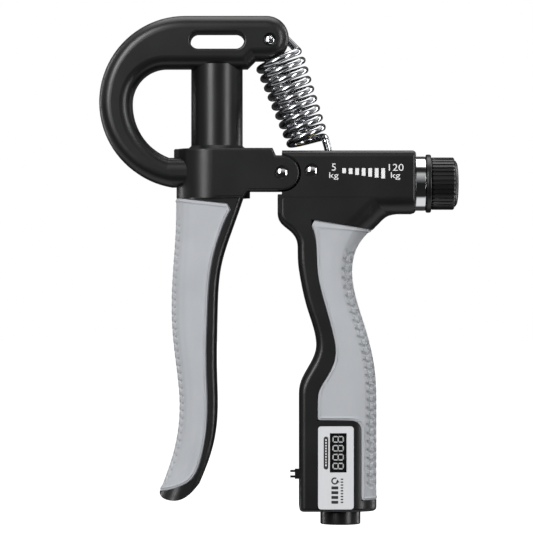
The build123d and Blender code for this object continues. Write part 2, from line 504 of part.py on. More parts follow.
def make_ring_lever():
    """The moulding with its post, core and soft grip."""
    ring = plate(frame_outline(), -FRAME_HALF_DEPTH, FRAME_HALF_DEPTH)
    ring = fillet(face_edges(ring, FRAME_HALF_DEPTH, lambda x, z: x < -28.5 or z > 20), FRAME_ROUND)
    ring -= plate(Pos(SLOT_X, SLOT_Z) * SlotOverall(SLOT_LENGTH, SLOT_WIDTH), -20, 20)
    in_slot = SLOT_LENGTH / 2 + 0.1, SLOT_WIDTH / 2 + 0.1
    flat_over_slot = BAR_TOP_Z - SLOT_Z - SLOT_WIDTH / 2 - FRAME_ROUND
    ring = fillet(face_edges(ring, FRAME_HALF_DEPTH, lambda x, z: abs(x - SLOT_X) < in_slot[0]
                             and abs(z - SLOT_Z) < in_slot[1]), min(SLOT_ROUND, flat_over_slot / 2))
    corner_centre = COLLAR_X - COLLAR_RADIUS + CORNER_REACH, (CORNER_BOTTOM_Z + CORNER_TOP_Z) / 2
    corner = RectangleRounded(4 * CORNER_REACH, CORNER_TOP_Z - CORNER_BOTTOM_Z, CORNER_ROUND)
    ring += plate(Pos(*corner_centre) * corner, -CORNER_HALF_DEPTH, CORNER_HALF_DEPTH)
    collar = collar_form()
    outer, inner = lever_form(0, 0), lever_form(GRIP_WALL, GRIP_SKIN)
    zone = plate(finger_grip_outline(), -20, 20)
    parts["finger_grip"] = (outer & zone) - inner - collar
    moulding = ring + collar + ((outer - zone) + inner) - hook_clevis()

    core = rod((POST_X, 0, 0), (POST_X, 0, 38.0), POST_CORE_RADIUS)
    moulding -= core
    post = rod((POST_X, 0, COLLAR_TOP_Z), (POST_X, 0, BAR_BOTTOM_Z + POST_TOP_LAP), POST_RADIUS)
    post += rod((POST_X, 0, COLLAR_TOP_Z), (POST_X, 0, COLLAR_TOP_Z + POST_FOOT),
                POST_RADIUS + POST_FOOT, POST_RADIUS)
    post = post - core - moulding
    parts["support_post"] = post.solids().sort_by(SortBy.VOLUME)[-1]
    parts["post_core"] = core
    parts["ring_frame"] = add_pins(moulding)


def add_pins(moulding):
    """Bore the moulding for the pivot pin and the spring pin, and make both pins; return it bored."""
    moulding -= rod((0, -20, 0), (0, 20, 0), PIN_RADIUS)
    front_seat = -HALF_DEPTH + HEAD_RECESS_DEPTH
    moulding -= rod((0, -20, 0), (0, front_seat, 0), HEAD_RECESS_RADIUS)
    pivot = rod((0, front_seat, 0), (0, HALF_DEPTH - 0.4, 0), PIN_RADIUS)
    parts["pivot_pin"] = pivot + dome_head(0, 0, front_seat, -1)

    screw_seat, nut_seat = -FRAME_HALF_DEPTH + PIN_SEAT_DEPTH, FRAME_HALF_DEPTH - PIN_NUT_DEPTH
    moulding -= rod((PIN_X, -20, PIN_Z), (PIN_X, 20, PIN_Z), SPRING_PIN_RADIUS)
    moulding -= rod((PIN_X, -20, PIN_Z), (PIN_X, screw_seat, PIN_Z), PIN_SEAT_RADIUS)
    moulding -= rod((PIN_X, nut_seat, PIN_Z), (PIN_X, 20, PIN_Z), PIN_NUT_ROOM)
    shank = rod((PIN_X, screw_seat, PIN_Z), (PIN_X, nut_seat + 1.6, PIN_Z), SPRING_PIN_RADIUS)
    parts["spring_pin_screw"] = shank + dome_head(PIN_X, PIN_Z, screw_seat, -1)
    hole = disc(PIN_X, PIN_Z, SPRING_PIN_RADIUS)
    nut_outline = Pos(PIN_X, PIN_Z) * RegularPolygon(PIN_NUT_ROOM - FIT_GAP, 6)
    parts["spring_pin_nut"] = plate(nut_outline - hole, nut_seat, nut_seat + 1.8)
    bush_outline = disc(PIN_X, PIN_Z, SPRING_PIN_RADIUS + 0.5)
    parts["spring_pin_bush"] = plate(bush_outline - hole, -HOOK_SLOT_HALF_WIDTH, HOOK_SLOT_HALF_WIDTH)
    return moulding


# ---- Knob, lead screw and nut -----------------------------------------------------------------------

def make_tension_drive():
    """The ribbed knob on its lead screw, and the nut that carries the spring."""
    axis = SCREW_AXIS_Z
    flange_start = BARREL_END_X + BARREL_COLLAR_LENGTH + RUNNING_GAP / 2
    knob_start = flange_start + FLANGE_LENGTH
    knob_end = knob_start + KNOB_LENGTH
    flange = rod((flange_start, 0, axis), (knob_start, 0, axis), FLANGE_RADIUS)
    flange = fillet(flange.edges().filter_by(GeomType.CIRCLE), 0.6)
    bore = rod((flange_start - 1, 0, axis), (knob_end - SHAFT_END, 0, axis), LEAD_SCREW_RADIUS)
    pin_x = (knob_start + knob_end) / 2 - 0.8
    pin = rod((pin_x, 0, axis - CROSS_PIN_REACH), (pin_x, 0, axis + CROSS_PIN_REACH), CROSS_PIN_RADIUS)
    parts["knob_flange"] = flange - bore

    step = 2 * pi / KNOB_RIBS
    points = []
    for index in range(KNOB_RIBS):
        for shift, radius in ((0, -RIB_DEPTH), (0.3, 0), (0.7, 0)):
            angle = (index + shift) * step
            points.append(((KNOB_RADIUS + radius) * cos(angle), (KNOB_RADIUS + radius) * sin(angle)))
    ribbed = make_face(Polyline(*points, close=True))
    knob_plane = Plane(origin=(knob_start, 0, axis), x_dir=(0, 1, 0), z_dir=(1, 0, 0))
    parts["tension_knob"] = knob_plane * extrude(ribbed, KNOB_LENGTH) - bore - pin
    cap_step, cap_end = knob_end + 0.6, knob_end + CAP_HEIGHT
    cap = rod((knob_end, 0, axis), (cap_step, 0, axis), KNOB_RADIUS - 0.4, KNOB_RADIUS - 1.0)
    cap += rod((cap_step, 0, axis), (cap_end, 0, axis), CAP_TOP_RADIUS, CAP_TOP_RADIUS - 1.0)
    parts["knob_cap"] = cap

    thread_start = CAVITY_START_X + RUNNING_GAP
    shaft = rod((thread_start, 0, axis), (knob_end - SHAFT_END, 0, axis), LEAD_SCREW_RADIUS)
    shaft += rod((JOURNAL_START_X, 0, axis), (thread_start, 0, axis), JOURNAL_RADIUS)
    parts["lead_screw"] = shaft - pin
    parts["knob_pin"] = pin

    left, right = HOOK_X - NUT_LENGTH / 2, HOOK_X + NUT_LENGTH / 2
    nut = block((left, right), (-NUT_HALF_WIDTH, NUT_HALF_WIDTH), (NUT_BOTTOM_Z, NUT_TOP_Z))
    nut -= block((left - 1, right + 1), (-HOOK_SLOT_HALF_WIDTH, HOOK_SLOT_HALF_WIDTH), (axis, 20))
    nut -= rod((left - 1, 0, axis), (right + 1, 0, axis), LEAD_SCREW_RADIUS + SHAFT_GAP)
    half = NUT_HALF_WIDTH
    hook_pin = rod((HOOK_X, -half, HOOK_Z), (HOOK_X, half, HOOK_Z), HOOK_PIN_RADIUS)
    parts["travel_nut"] = nut - hook_pin
    parts["hook_pin"] = hook_pin


# ---- Spring ------------------------------------------------------------------------------------------

def make_spring():
    """A tapered extension spring in four stretches: hook, lower coils, upper coils, hook."""
    run_x, run_z = COIL_TOP_X - COIL_BOTTOM_X, COIL_TOP_Z - COIL_BOTTOM_Z
    length = hypot(run_x, run_z)
    along = Vector(run_x / length, 0, run_z / length)
    right = Vector(along.Z, 0, -along.X)
    taper = degrees(atan((COIL_TOP_RADIUS - COIL_BOTTOM_RADIUS) / length))
    half = length / 2
    lead_in = 0.35
    for name, start, rise in (("spring_lower_coils", 0, half), ("spring_upper_coils", half, half)):
        radius = COIL_BOTTOM_RADIUS + (COIL_TOP_RADIUS - COIL_BOTTOM_RADIUS) * start / length
        turned = 360 * start / COIL_PITCH
        across = right * cos(radians(turned)) + Vector(0, 1, 0) * sin(radians(turned))
        origin = Vector(COIL_BOTTOM_X, 0, COIL_BOTTOM_Z) + along * (start + lead_in)
        plane = Plane(origin=origin, x_dir=across, z_dir=along)
        path = plane * Helix(COIL_PITCH, rise - 2 * lead_in, radius, cone_angle=taper)
        parts[name] = Solid.sweep(
            Plane(origin=path @ 0, z_dir=path % 0) * Circle(WIRE / 2).face(), path=path, is_frenet=True)

    lower_eye = ring_path(HOOK_X, HOOK_Z, LOWER_EYE_RADIUS, 90, 330)
    shank = Line((HOOK_X, 0, HOOK_Z + LOWER_EYE_RADIUS), (HOOK_X - 0.6, 0, COIL_BOTTOM_Z - 0.2))
    parts["spring_lower_hook"] = wire_along(lower_eye) + wire_along(shank)
    upper_eye = ring_path(PIN_X, PIN_Z, UPPER_EYE_RADIUS, 40, 300)
    lean = radians(40)
    shank_start = (PIN_X + UPPER_EYE_RADIUS * cos(lean), 0, PIN_Z + UPPER_EYE_RADIUS * sin(lean))
    reach = 6.0
    shank_end = (shank_start[0] + reach * sin(lean), 0, shank_start[2] - reach * cos(lean))
    parts["spring_upper_hook"] = wire_along(upper_eye) + wire_along(Line(shank_start, shank_end))


# ---- Build and save -----------------------------------------------------------------------------------

make_palm_arm()
make_counter()
make_trigger()
make_reset()
make_ring_lever()
make_tension_drive()
make_spring()

os.makedirs("parts", exist_ok=True)
to_origin = Pos(-GRIP_CENTRE_X, 0, -GRIP_CENTRE_Z)
for name, shape in parts.items():
    export_step(to_origin * shape, f"parts/{name}.step")
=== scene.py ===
"""Looks of an adjustable ring-frame hand exerciser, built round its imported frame."""
import json
import logging
from dataclasses import dataclass, field
from enum import Enum
from typing import Any, Callable, Sequence

import bpy
import numpy as np
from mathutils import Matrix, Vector


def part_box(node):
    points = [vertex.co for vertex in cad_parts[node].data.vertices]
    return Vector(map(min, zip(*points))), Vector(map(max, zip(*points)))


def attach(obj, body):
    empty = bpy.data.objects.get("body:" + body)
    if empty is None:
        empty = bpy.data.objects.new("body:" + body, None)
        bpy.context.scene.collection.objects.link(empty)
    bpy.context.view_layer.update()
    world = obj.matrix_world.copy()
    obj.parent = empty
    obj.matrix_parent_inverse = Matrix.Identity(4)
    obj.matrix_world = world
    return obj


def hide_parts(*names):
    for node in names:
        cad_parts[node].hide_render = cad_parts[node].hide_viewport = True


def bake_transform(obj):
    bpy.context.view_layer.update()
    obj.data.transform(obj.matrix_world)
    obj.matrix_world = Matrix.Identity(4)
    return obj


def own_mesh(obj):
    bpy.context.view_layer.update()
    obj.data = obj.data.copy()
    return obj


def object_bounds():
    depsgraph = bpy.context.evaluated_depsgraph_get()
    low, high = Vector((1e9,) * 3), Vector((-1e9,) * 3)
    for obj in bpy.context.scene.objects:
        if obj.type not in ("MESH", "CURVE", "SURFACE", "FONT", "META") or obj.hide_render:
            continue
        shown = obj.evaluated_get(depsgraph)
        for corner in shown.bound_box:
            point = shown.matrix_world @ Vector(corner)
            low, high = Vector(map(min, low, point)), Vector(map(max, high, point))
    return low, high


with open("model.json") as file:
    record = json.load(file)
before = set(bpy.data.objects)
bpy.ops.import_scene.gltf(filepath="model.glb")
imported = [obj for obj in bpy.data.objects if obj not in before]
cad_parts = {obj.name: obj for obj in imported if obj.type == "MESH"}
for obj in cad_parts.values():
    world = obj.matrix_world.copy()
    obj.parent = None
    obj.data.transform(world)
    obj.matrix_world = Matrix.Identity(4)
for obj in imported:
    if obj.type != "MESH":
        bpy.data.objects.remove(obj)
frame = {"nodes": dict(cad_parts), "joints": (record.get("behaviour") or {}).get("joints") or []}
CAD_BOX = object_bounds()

log = logging.getLogger("hand_exerciser")

MM = 0.001
Array = np.ndarray
Point = tuple[float, float]


def joint_place(name: str) -> Array:
    """Return the place of a hinge in the row frame, in metres."""
    found = [joint for joint in frame["joints"] if joint["name"] == name]
    return np.array(found[0]["pos_m"], float)


PIVOT = joint_place("squeeze")


def placed(points: Array) -> Array:
    """Turn points in millimetres about the pivot axis into metres in the row frame."""
    return np.asarray(points, float) * MM + PIVOT


def seen_box(node: str) -> tuple[Array, Array]:
    """Return a node's lowest and highest corner, in millimetres about the pivot axis."""
    low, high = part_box(node)
    return (np.array(low) - PIVOT) / MM, (np.array(high) - PIVOT) / MM


# ---- Shader expressions ----

class Paint:
    """A socket of a node tree, with arithmetic that adds Math nodes."""

    def __init__(self, nodes: "Nodes", socket: Any) -> None:
        """Keep the tree that owns the socket."""
        self.nodes = nodes
        self.socket = socket

    def _math(self, operation: str, *values: Any) -> "Paint":
        """Add one Math node over these values."""
        return self.nodes.node("ShaderNodeMath", {"operation": operation}, list(values))

    def __add__(self, other: Any) -> "Paint":
        """Sum."""
        return self._math("ADD", self, other)

    def __sub__(self, other: Any) -> "Paint":
        """Difference."""
        return self._math("SUBTRACT", self, other)

    def __rsub__(self, other: Any) -> "Paint":
        """Difference from a number."""
        return self._math("SUBTRACT", other, self)

    def __mul__(self, other: Any) -> "Paint":
        """Product."""
        return self._math("MULTIPLY", self, other)

    __radd__ = __add__
    __rmul__ = __mul__


class Nodes:
    """A node tree that is written as Python expressions."""

    def __init__(self, tree: bpy.types.NodeTree) -> None:
        """Keep the tree."""
        self.tree = tree

    def node(self, kind: str, settings: dict[str, Any] | None = None,
             inputs: dict[Any, Any] | Sequence[Any] | None = None, output: int | str = 0) -> Paint:
        """Add any node.

        Args:
            kind: The node's type.
            settings: Attributes that are set first; "stops" fills a colour ramp.
            inputs: Values or links by socket name or place.
            output: The output socket to return.

        Returns:
            The chosen output as a Paint.
        """
        made = self.tree.nodes.new(kind)
        for key, value in (settings or {}).items():
            if key == "stops":
                self.fill_ramp(made.color_ramp, value)
            else:
                setattr(made, key, value)
        pairs = inputs.items() if isinstance(inputs, dict) else enumerate(inputs or [])
        for key, value in pairs:
            if isinstance(value, Paint):
                self.tree.links.new(value.socket, made.inputs[key])
            else:
                made.inputs[key].default_value = value
        return Paint(self, made.outputs[output])

    @staticmethod
    def fill_ramp(ramp: Any, stops: Sequence[tuple[float, float]]) -> None:
        """Set a ramp's stops as (place, grey value) pairs."""
        while len(ramp.elements) < len(stops):
            ramp.elements.new(1.0)
        for element, (place, grey) in zip(ramp.elements, stops):
            element.position = place
            element.color = (grey, grey, grey, 1.0)

    def noise(self, scale: float, detail: float, stretch: tuple = (1.0, 1.0, 1.0)) -> Paint:
        """Noise over Object coordinates, from nought to one.

        Args:
            scale: Features per metre.
            detail: Octaves.
            stretch: Scale of each axis before the noise.
        """
        place = self.node("ShaderNodeTexCoord", output="Object")
        place = self.node("ShaderNodeMapping", {}, {"Vector": place, "Scale": stretch})
        inputs = {"Vector": place, "Scale": scale, "Detail": detail}
        return self.node("ShaderNodeTexNoise", {}, inputs)

    def ramp(self, value: Paint, stops: Sequence[tuple[float, float]]) -> Paint:
        """Remap a value through grey stops."""
        return self.node("ShaderNodeValToRGB", {"stops": stops}, {"Fac": value})

    def mix(self, amount: Paint, low: Sequence[float], high: Sequence[float]) -> Paint:
        """Mix two colours by an amount."""
        settings = {"data_type": "RGBA"}
        inputs = {0: amount, 6: (*low, 1.0), 7: (*high, 1.0)}
        return self.node("ShaderNodeMix", settings, inputs, output=2)


class Shader(Nodes):
    """One Principled material."""

    def __init__(self, name: str, **constants: Any) -> None:
        """Make the material and set the constants on the shader's own sockets.

        Args:
            name: The material's name.
            constants: Socket names with underscores for spaces, and their values.
        """
        self.material = bpy.data.materials.new(name)
        self.material.use_nodes = True
        super().__init__(self.material.node_tree)
        self.surface = self.tree.nodes["Principled BSDF"]
        for key, value in constants.items():
            self.surface.inputs[key.replace("_", " ")].default_value = value

    def feed(self, **links: Paint) -> None:
        """Link values to the shader's varying sockets."""
        for key, value in links.items():
            self.tree.links.new(value.socket, self.surface.inputs[key.replace("_", " ")])

    def bump(self, height: Paint, distance: float) -> None:
        """Feed a height from nought to one, times a distance in metres, to the normal."""
        settings = {"Height": height, "Distance": distance, "Strength": 1.0}
        self.feed(Normal=self.node("ShaderNodeBump", {}, settings))


# ---- Finishes ----

Colour = tuple[float, float, float]


@dataclass(frozen=True)
class Grain:
    """Noise over the surface: features per metre, octaves and the stretch of each axis."""

    scale: float
    detail: float
    stretch: tuple[float, float, float] = (1.0, 1.0, 1.0)

    def on(self, shader: Shader) -> Paint:
        """Add the noise to a shader."""
        return shader.noise(self.scale, self.detail, self.stretch)


@dataclass(frozen=True)
class Coating:
    """A finish of one colour that varies a little with noise.

    Over the tint noise the colour runs from colour * low to colour * high + lift. The roughness is
    roughness + gain * haze, and the relief noise stands relief_depth high.
    """

    name: str
    colour: Colour
    roughness: float
    gain: float
    tint: Grain
    low: float = 1.0
    high: float = 1.0
    lift: float = 0.0
    haze: Grain | None = None
    relief: Grain | None = None
    relief_depth: float = 0.0
    constants: tuple[tuple[str, float], ...] = ()

    def material(self) -> bpy.types.Material:
        """Build the material; a haze or relief that is the tint's own noise shares its node."""
        shader = Shader(self.name, **dict(self.constants))
        tint = self.tint.on(shader)
        haze = self.haze.on(shader) if self.haze else tint
        darkest = tuple(part * self.low for part in self.colour)
        lightest = tuple(part * self.high + self.lift for part in self.colour)
        if darkest == lightest:
            shader.surface.inputs["Base Color"].default_value = (*self.colour, 1.0)
        else:
            shader.feed(Base_Color=shader.mix(tint, darkest, lightest))
        shader.feed(Roughness=haze * self.gain + self.roughness)
        if self.relief_depth:
            shader.bump(self.relief.on(shader) if self.relief else tint, self.relief_depth)
        return shader.material


def moulded_plastic(name: str, colour: Colour = (0.0055, 0.0056, 0.006), roughness: float = 0.34,
                    spread: float = 0.05) -> Coating:
    """Fine-grained moulded plastic with a faint cloudy sheen, of roughness +- spread."""
    return Coating(name, colour, roughness - spread, 2 * spread, Grain(1.0 / (14 * MM), 4.0),
                   high=1.35, lift=0.001, relief=Grain(1.0 / (0.16 * MM), 3.0),
                   relief_depth=0.006 * MM, constants=(("Specular_IOR_Level", 0.42),))


def bright_plate(name: str, colour: Colour, roughness: float, gain: float) -> Coating:
    """Bright nickel-chrome plate with faint polishing haze."""
    return Coating(name, colour, roughness, gain, Grain(700.0, 3.0), low=0.95,
                   haze=Grain(2600.0, 2.0, (1.0, 1.0, 0.15)), constants=(("Metallic", 1.0),))


def turned_metal(name: str, colour: Colour) -> Coating:
    """Plain turned or drawn metal with fine tool lines."""
    return Coating(name, colour, 0.25, 0.15, Grain(1.0 / (0.25 * MM), 2.0, (1.0, 0.12, 1.0)),
                   low=0.75, relief_depth=0.004 * MM, constants=(("Metallic", 1.0),))


def printed_ink(name: str, colour: Colour, roughness: float = 0.45) -> Coating:
    """Pad-printed ink with slightly uneven cover."""
    return Coating(name, colour, roughness, 0.1, Grain(5200.0, 2.0), low=0.86)


def satin_label(name: str) -> Coating:
    """Silver-white satin label foil with a faint brushed grain."""
    return Coating(name, (0.70, 0.71, 0.73), 0.34, 0.12, Grain(3000.0, 2.0, (1.0, 1.0, 0.05)),
                   low=0.93, relief_depth=0.003 * MM,
                   constants=(("Coat_Weight", 0.25), ("Coat_Roughness", 0.15)))


def clear_window(name: str) -> Coating:
    """Clear display window with a few fine scratches."""
    return Coating(name, (0.02, 0.02, 0.022), 0.04, 0.05, Grain(1800.0, 4.0, (1.0, 1.0, 0.2)),
                   constants=(("IOR", 1.49), ("Alpha", 0.14)))


@dataclass(frozen=True)
class SoftRubber:
    """Soft-touch grey grip rubber: matt, with fine pores and faint handling marks."""

    name: str
    colour: Colour = (0.435, 0.45, 0.475)
    roughness: float = 0.56
    pores: Grain = Grain(1.0 / (0.22 * MM), 3.0)
    pore_depth: float = 0.012 * MM
    marks: Grain = Grain(90.0, 5.0)
    worn: float = 0.93

    def material(self) -> bpy.types.Material:
        """Build the material."""
        shader = Shader(self.name, Specular_IOR_Level=0.42, Sheen_Weight=0.06)
        pores = self.pores.on(shader)
        marks = shader.ramp(self.marks.on(shader), [(0.35, 0.0), (0.75, 1.0)])
        worn = tuple(part * self.worn for part in self.colour)
        shader.feed(Base_Color=shader.mix(marks, self.colour, worn),
                    Roughness=self.roughness + marks * 0.08 + pores * 0.05)
        shader.bump(pores, self.pore_depth)
        return shader.material


class Finish(Enum):
    """Every finish on the object."""

    BLACK_MOULDING = moulded_plastic("black_moulding")
    BLACK_SHELL = moulded_plastic("black_shell", roughness=0.35)
    KNOB_BLACK = moulded_plastic("knob_black", (0.005, 0.0051, 0.0055), 0.33)
    SOFT_GRIP = SoftRubber("grip_rubber")
    BRIGHT = bright_plate("bright_plate", (0.80, 0.81, 0.83), 0.05, 0.04)
    WIRE = bright_plate("plated_wire", (0.52, 0.53, 0.55), 0.17, 0.02)
    STEEL = turned_metal("plain_steel", (0.52, 0.52, 0.54))
    BRASS = turned_metal("turned_brass", (0.72, 0.52, 0.22))
    WHITE_INK = printed_ink("white_ink", (0.86, 0.86, 0.86))
    BLACK_INK = printed_ink("black_ink", (0.02, 0.02, 0.022))
    DIGITS = printed_ink("lit_segments", (0.88, 0.90, 0.90), 0.35)
    LABEL = satin_label("label_foil")
    DISPLAY = moulded_plastic("display_glass", (0.006, 0.006, 0.007), 0.12, 0.03)
    BOARD = moulded_plastic("board_lacquer", (0.02, 0.12, 0.05), 0.30)
    CONTACT = moulded_plastic("contact_rubber", (0.35, 0.16, 0.20), 0.60)
    WINDOW = clear_window("display_window")


_made: dict[Finish, bpy.types.Material] = {}


def finish_material(finish: Finish) -> bpy.types.Material:
    """Return a finish's material, built once."""
    if finish not in _made:
        _made[finish] = finish.value.material()
    return _made[finish]


# ---- Surfaces ----

def smoothstep(low: float, high: float, value: Array) -> Array:
    """Rise from nought at low to one at high along 3t^2 - 2t^3."""
    t = np.clip((value - low) / (high - low), 0.0, 1.0)
    return t * t * (3.0 - 2.0 * t)


def curve_through(points: Sequence[Point], first: Point | None, last: Point | None,
                  count: int) -> Array:
    """Sample a smooth curve with continuous bending through points.

    The slopes at the points solve the cubic spline equations over chord lengths, and each span is
    the Hermite cubic of its two ends.

    Args:
        points: Where the curve passes.
        first: Direction at the start, or None for a free end.
        last: Direction at the end, or None for a free end.
        count: Number of samples, evenly spaced along the chords.

    Returns:
        Samples as rows of two columns.
    """
    knots = np.array(points, float)
    span = np.linalg.norm(np.diff(knots, axis=0), axis=1)
    place = np.concatenate([[0.0], np.cumsum(span)])
    size = len(knots)
    system, target = np.zeros((size, size)), np.zeros((size, 2))
    inner = np.arange(1, size - 1)
    before, after = span[:-1, None], span[1:, None]
    rise_before = np.diff(knots[:-1], axis=0) / before
    rise_after = np.diff(knots[1:], axis=0) / after
    system[inner, inner - 1] = after[:, 0]
    system[inner, inner] = 2 * (before + after)[:, 0]
    system[inner, inner + 1] = before[:, 0]
    target[inner] = 3 * (after * rise_before + before * rise_after)
    for row, neighbour, direction, rise in (
            (0, 1, first, (knots[1] - knots[0]) / span[0]),
            (size - 1, size - 2, last, (knots[-1] - knots[-2]) / span[-1])):
        if direction is None:
            system[row, row], system[row, neighbour], target[row] = 2.0, 1.0, 3 * rise
        else:
            system[row, row] = 1.0
            target[row] = np.array(direction, float) / np.linalg.norm(direction)
    slope = np.linalg.solve(system, target)
    at = np.linspace(0.0, place[-1], count)
    which = np.clip(np.searchsorted(place, at, side="right") - 1, 0, size - 2)
    width = span[which][:, None]
    t = ((at - place[which])[:, None]) / width
    start, end = knots[which], knots[which + 1]
    return hermite(start, width * slope[which], end, width * slope[which + 1], t)


def hermite(start: Array, start_slope: Array, end: Array, end_slope: Array, t: Array) -> Array:
    """Return the cubic from start to end with given slopes, for t from nought to one."""
    return ((1 + 2 * t) * (1 - t) ** 2 * start + t * (1 - t) ** 2 * start_slope
            + t * t * (3 - 2 * t) * end + t * t * (t - 1) * end_slope)


def mesh_piece(name: str, points: Array, faces: Sequence[Sequence[int]], smooth_angle: float = 35.0
               ) -> bpy.types.Object:
    """Make an object from points in millimetres about the pivot, with its normals outwards.

    Args:
        name: The piece's name.
        points: Rows of x, y, z.
        faces: Corner numbers of each face.
        smooth_angle: Edges sharper than this many degrees stay sharp.

    Returns:
        The linked object, at the origin.
    """
    mesh = bpy.data.meshes.new(name)
    mesh.from_pydata(placed(points).tolist(), [], faces)
    mesh.update()
    if signed_volume(mesh) < 0:
        mesh.flip_normals()
    mesh.shade_smooth()
    mesh.set_sharp_from_angle(angle=np.radians(smooth_angle))
    piece = bpy.data.objects.new(name, mesh)
    bpy.context.scene.collection.objects.link(piece)
    return piece


def signed_volume(mesh: bpy.types.Mesh) -> float:
    """Return the volume that a closed mesh encloses, negative when its faces point inwards."""
    mesh.calc_loop_triangles()
    corners = np.empty(len(mesh.loop_triangles) * 3, np.int64)
    mesh.loop_triangles.foreach_get("vertices", corners)
    place = np.empty(len(mesh.vertices) * 3)
    mesh.vertices.foreach_get("co", place)
    a, b, c = place.reshape(-1, 3)[corners.reshape(-1, 3)].transpose(1, 0, 2)
    return float(np.einsum("ij,ij->i", a, np.cross(b, c)).sum() / 6.0)


def grid_faces(rows: int, columns: int, first: int = 0, wrap: bool = False, loop: bool = False
               ) -> list[list[int]]:
    """Return quads of a rows by columns grid of points.

    Args:
        rows: Rows of points.
        columns: Points in each row.
        first: Number of the first point.
        wrap: Join the last column to the first one.
        loop: Join the last row to the first one.
    """
    row, column = np.meshgrid(np.arange(rows if loop else rows - 1),
                              np.arange(columns if wrap else columns - 1), indexing="ij")
    after, here, below = (column + 1) % columns, row * columns, (row + 1) % rows * columns
    quads = np.stack([here + column, here + after, below + after, below + column], axis=-1)
    return (quads.reshape(-1, 4) + first).tolist()


def capped_faces(rows: int, around: int) -> list[list[int]]:
    """Return the quads of closed rings, and fans to the two poles that follow their points."""
    turn = np.arange(around)
    after, last = (turn + 1) % around, (rows - 1) * around
    pole = np.full(around, rows * around)
    start = np.stack([pole, after, turn], axis=1)
    end = np.stack([pole + 1, last + turn, last + after], axis=1)
    return grid_faces(rows, around, wrap=True) + start.tolist() + end.tolist()


def tube_piece(name: str, path: Array, side: Array, radius: float, around: int = 20,
               dome: float = 0.3) -> bpy.types.Object:
    """Carry a circle along a path and close both ends with shallow cones.

    A point is path + radius (cos a * side + sin a * cross), where cross is square to the path and
    to side; the side vectors never run along the path.

    Args:
        name: The piece's name.
        path: Rows of x, y, z.
        side: One vector for each path point.
        radius: Radius of the wire.
        around: Points round the circle.
        dome: Rise of the ends, as a share of the radius.
    """
    run = np.gradient(path, axis=0)
    run /= np.linalg.norm(run, axis=1)[:, None]
    side = side - (side * run).sum(1)[:, None] * run
    side /= np.linalg.norm(side, axis=1)[:, None]
    cross = np.cross(run, side)
    angle = np.linspace(0, 2 * np.pi, around, endpoint=False)[None, :, None]
    ring = path[:, None] + radius * (np.cos(angle) * side[:, None] + np.sin(angle) * cross[:, None])
    tips = np.stack([path[0] - run[0] * radius * dome, path[-1] + run[-1] * radius * dome])
    points = np.concatenate([ring.reshape(-1, 3), tips])
    return mesh_piece(name, points, capped_faces(len(path), around))


class Way(Enum):
    """The axis that a turned piece stands on, as (along, across, up) unit vectors."""

    ALONG_X = ((1, 0, 0), (0, 1, 0), (0, 0, 1))
    ALONG_Y = ((0, 1, 0), (0, 0, 1), (1, 0, 0))
    ALONG_Z = ((0, 0, 1), (1, 0, 0), (0, 1, 0))


def turned_piece(name: str, way: Way, centre: Sequence[float], profile: Sequence[Point],
                 around: int = 96, carve: Callable[[Array, Array, Array], Array] | None = None,
                 smooth_angle: float = 35.0) -> bpy.types.Object:
    """Turn a profile about an axis.

    A point is centre + along * t + r (cos a * across + sin a * up).

    Args:
        name: The piece's name.
        way: The axis.
        centre: Where along is nought.
        profile: (along, radius) pairs; a closed ring repeats its first pair at the end, and a solid
            starts and ends on the axis.
        around: Points round the axis.
        carve: Returns a new radius for (along, radius, angle), or None to leave it.
        smooth_angle: Edges sharper than this many degrees stay sharp.
    """
    line = np.array(profile, float)
    ring = bool(np.allclose(line[0], line[-1]))
    body = line[:-1] if ring else line[1:-1]
    angle = np.linspace(0, 2 * np.pi, around, endpoint=False)[None]
    height = np.repeat(body[:, :1], around, axis=1)
    radius = np.repeat(body[:, 1:], around, axis=1)
    if carve is not None:
        radius = carve(height, radius, np.repeat(angle, len(body), axis=0))
    along, across, up = (np.array(vector, float) for vector in way.value)
    shell = (height[..., None] * along + (radius * np.cos(angle))[..., None] * across
             + (radius * np.sin(angle))[..., None] * up).reshape(-1, 3) + np.array(centre)
    if ring:
        return mesh_piece(name, shell, grid_faces(len(body), around, wrap=True, loop=True),
                          smooth_angle)
    poles = np.stack([line[0, 0] * along, line[-1, 0] * along]) + np.array(centre)
    return mesh_piece(name, np.concatenate([shell, poles]), capped_faces(len(body), around),
                      smooth_angle)


def rounded(corners: Sequence[tuple[float, float, float]], steps: int = 6) -> list[Point]:
    """Round the corners of a profile.

    Args:
        corners: (along, radius, rounding) triples; rounding is nought for a sharp corner.
        steps: Spans in each rounding.

    Returns:
        The profile with a quadratic curve at each rounded corner.
    """
    points: list[Point] = []
    place = [np.array(corner[:2], float) for corner in corners]
    for index, (along, radius, rounding) in enumerate(corners):
        if rounding == 0.0:
            points.append((along, radius))
            continue
        here = place[index]
        back = place[index - 1] - here
        ahead = place[(index + 1) % len(corners)] - here
        start = here + back / np.linalg.norm(back) * rounding
        end = here + ahead / np.linalg.norm(ahead) * rounding
        t = np.linspace(0, 1, steps + 1)[:, None]
        bend = (1 - t) ** 2 * start + 2 * t * (1 - t) * here + t * t * end
        points += [tuple(row) for row in bend.tolist()]
    return points


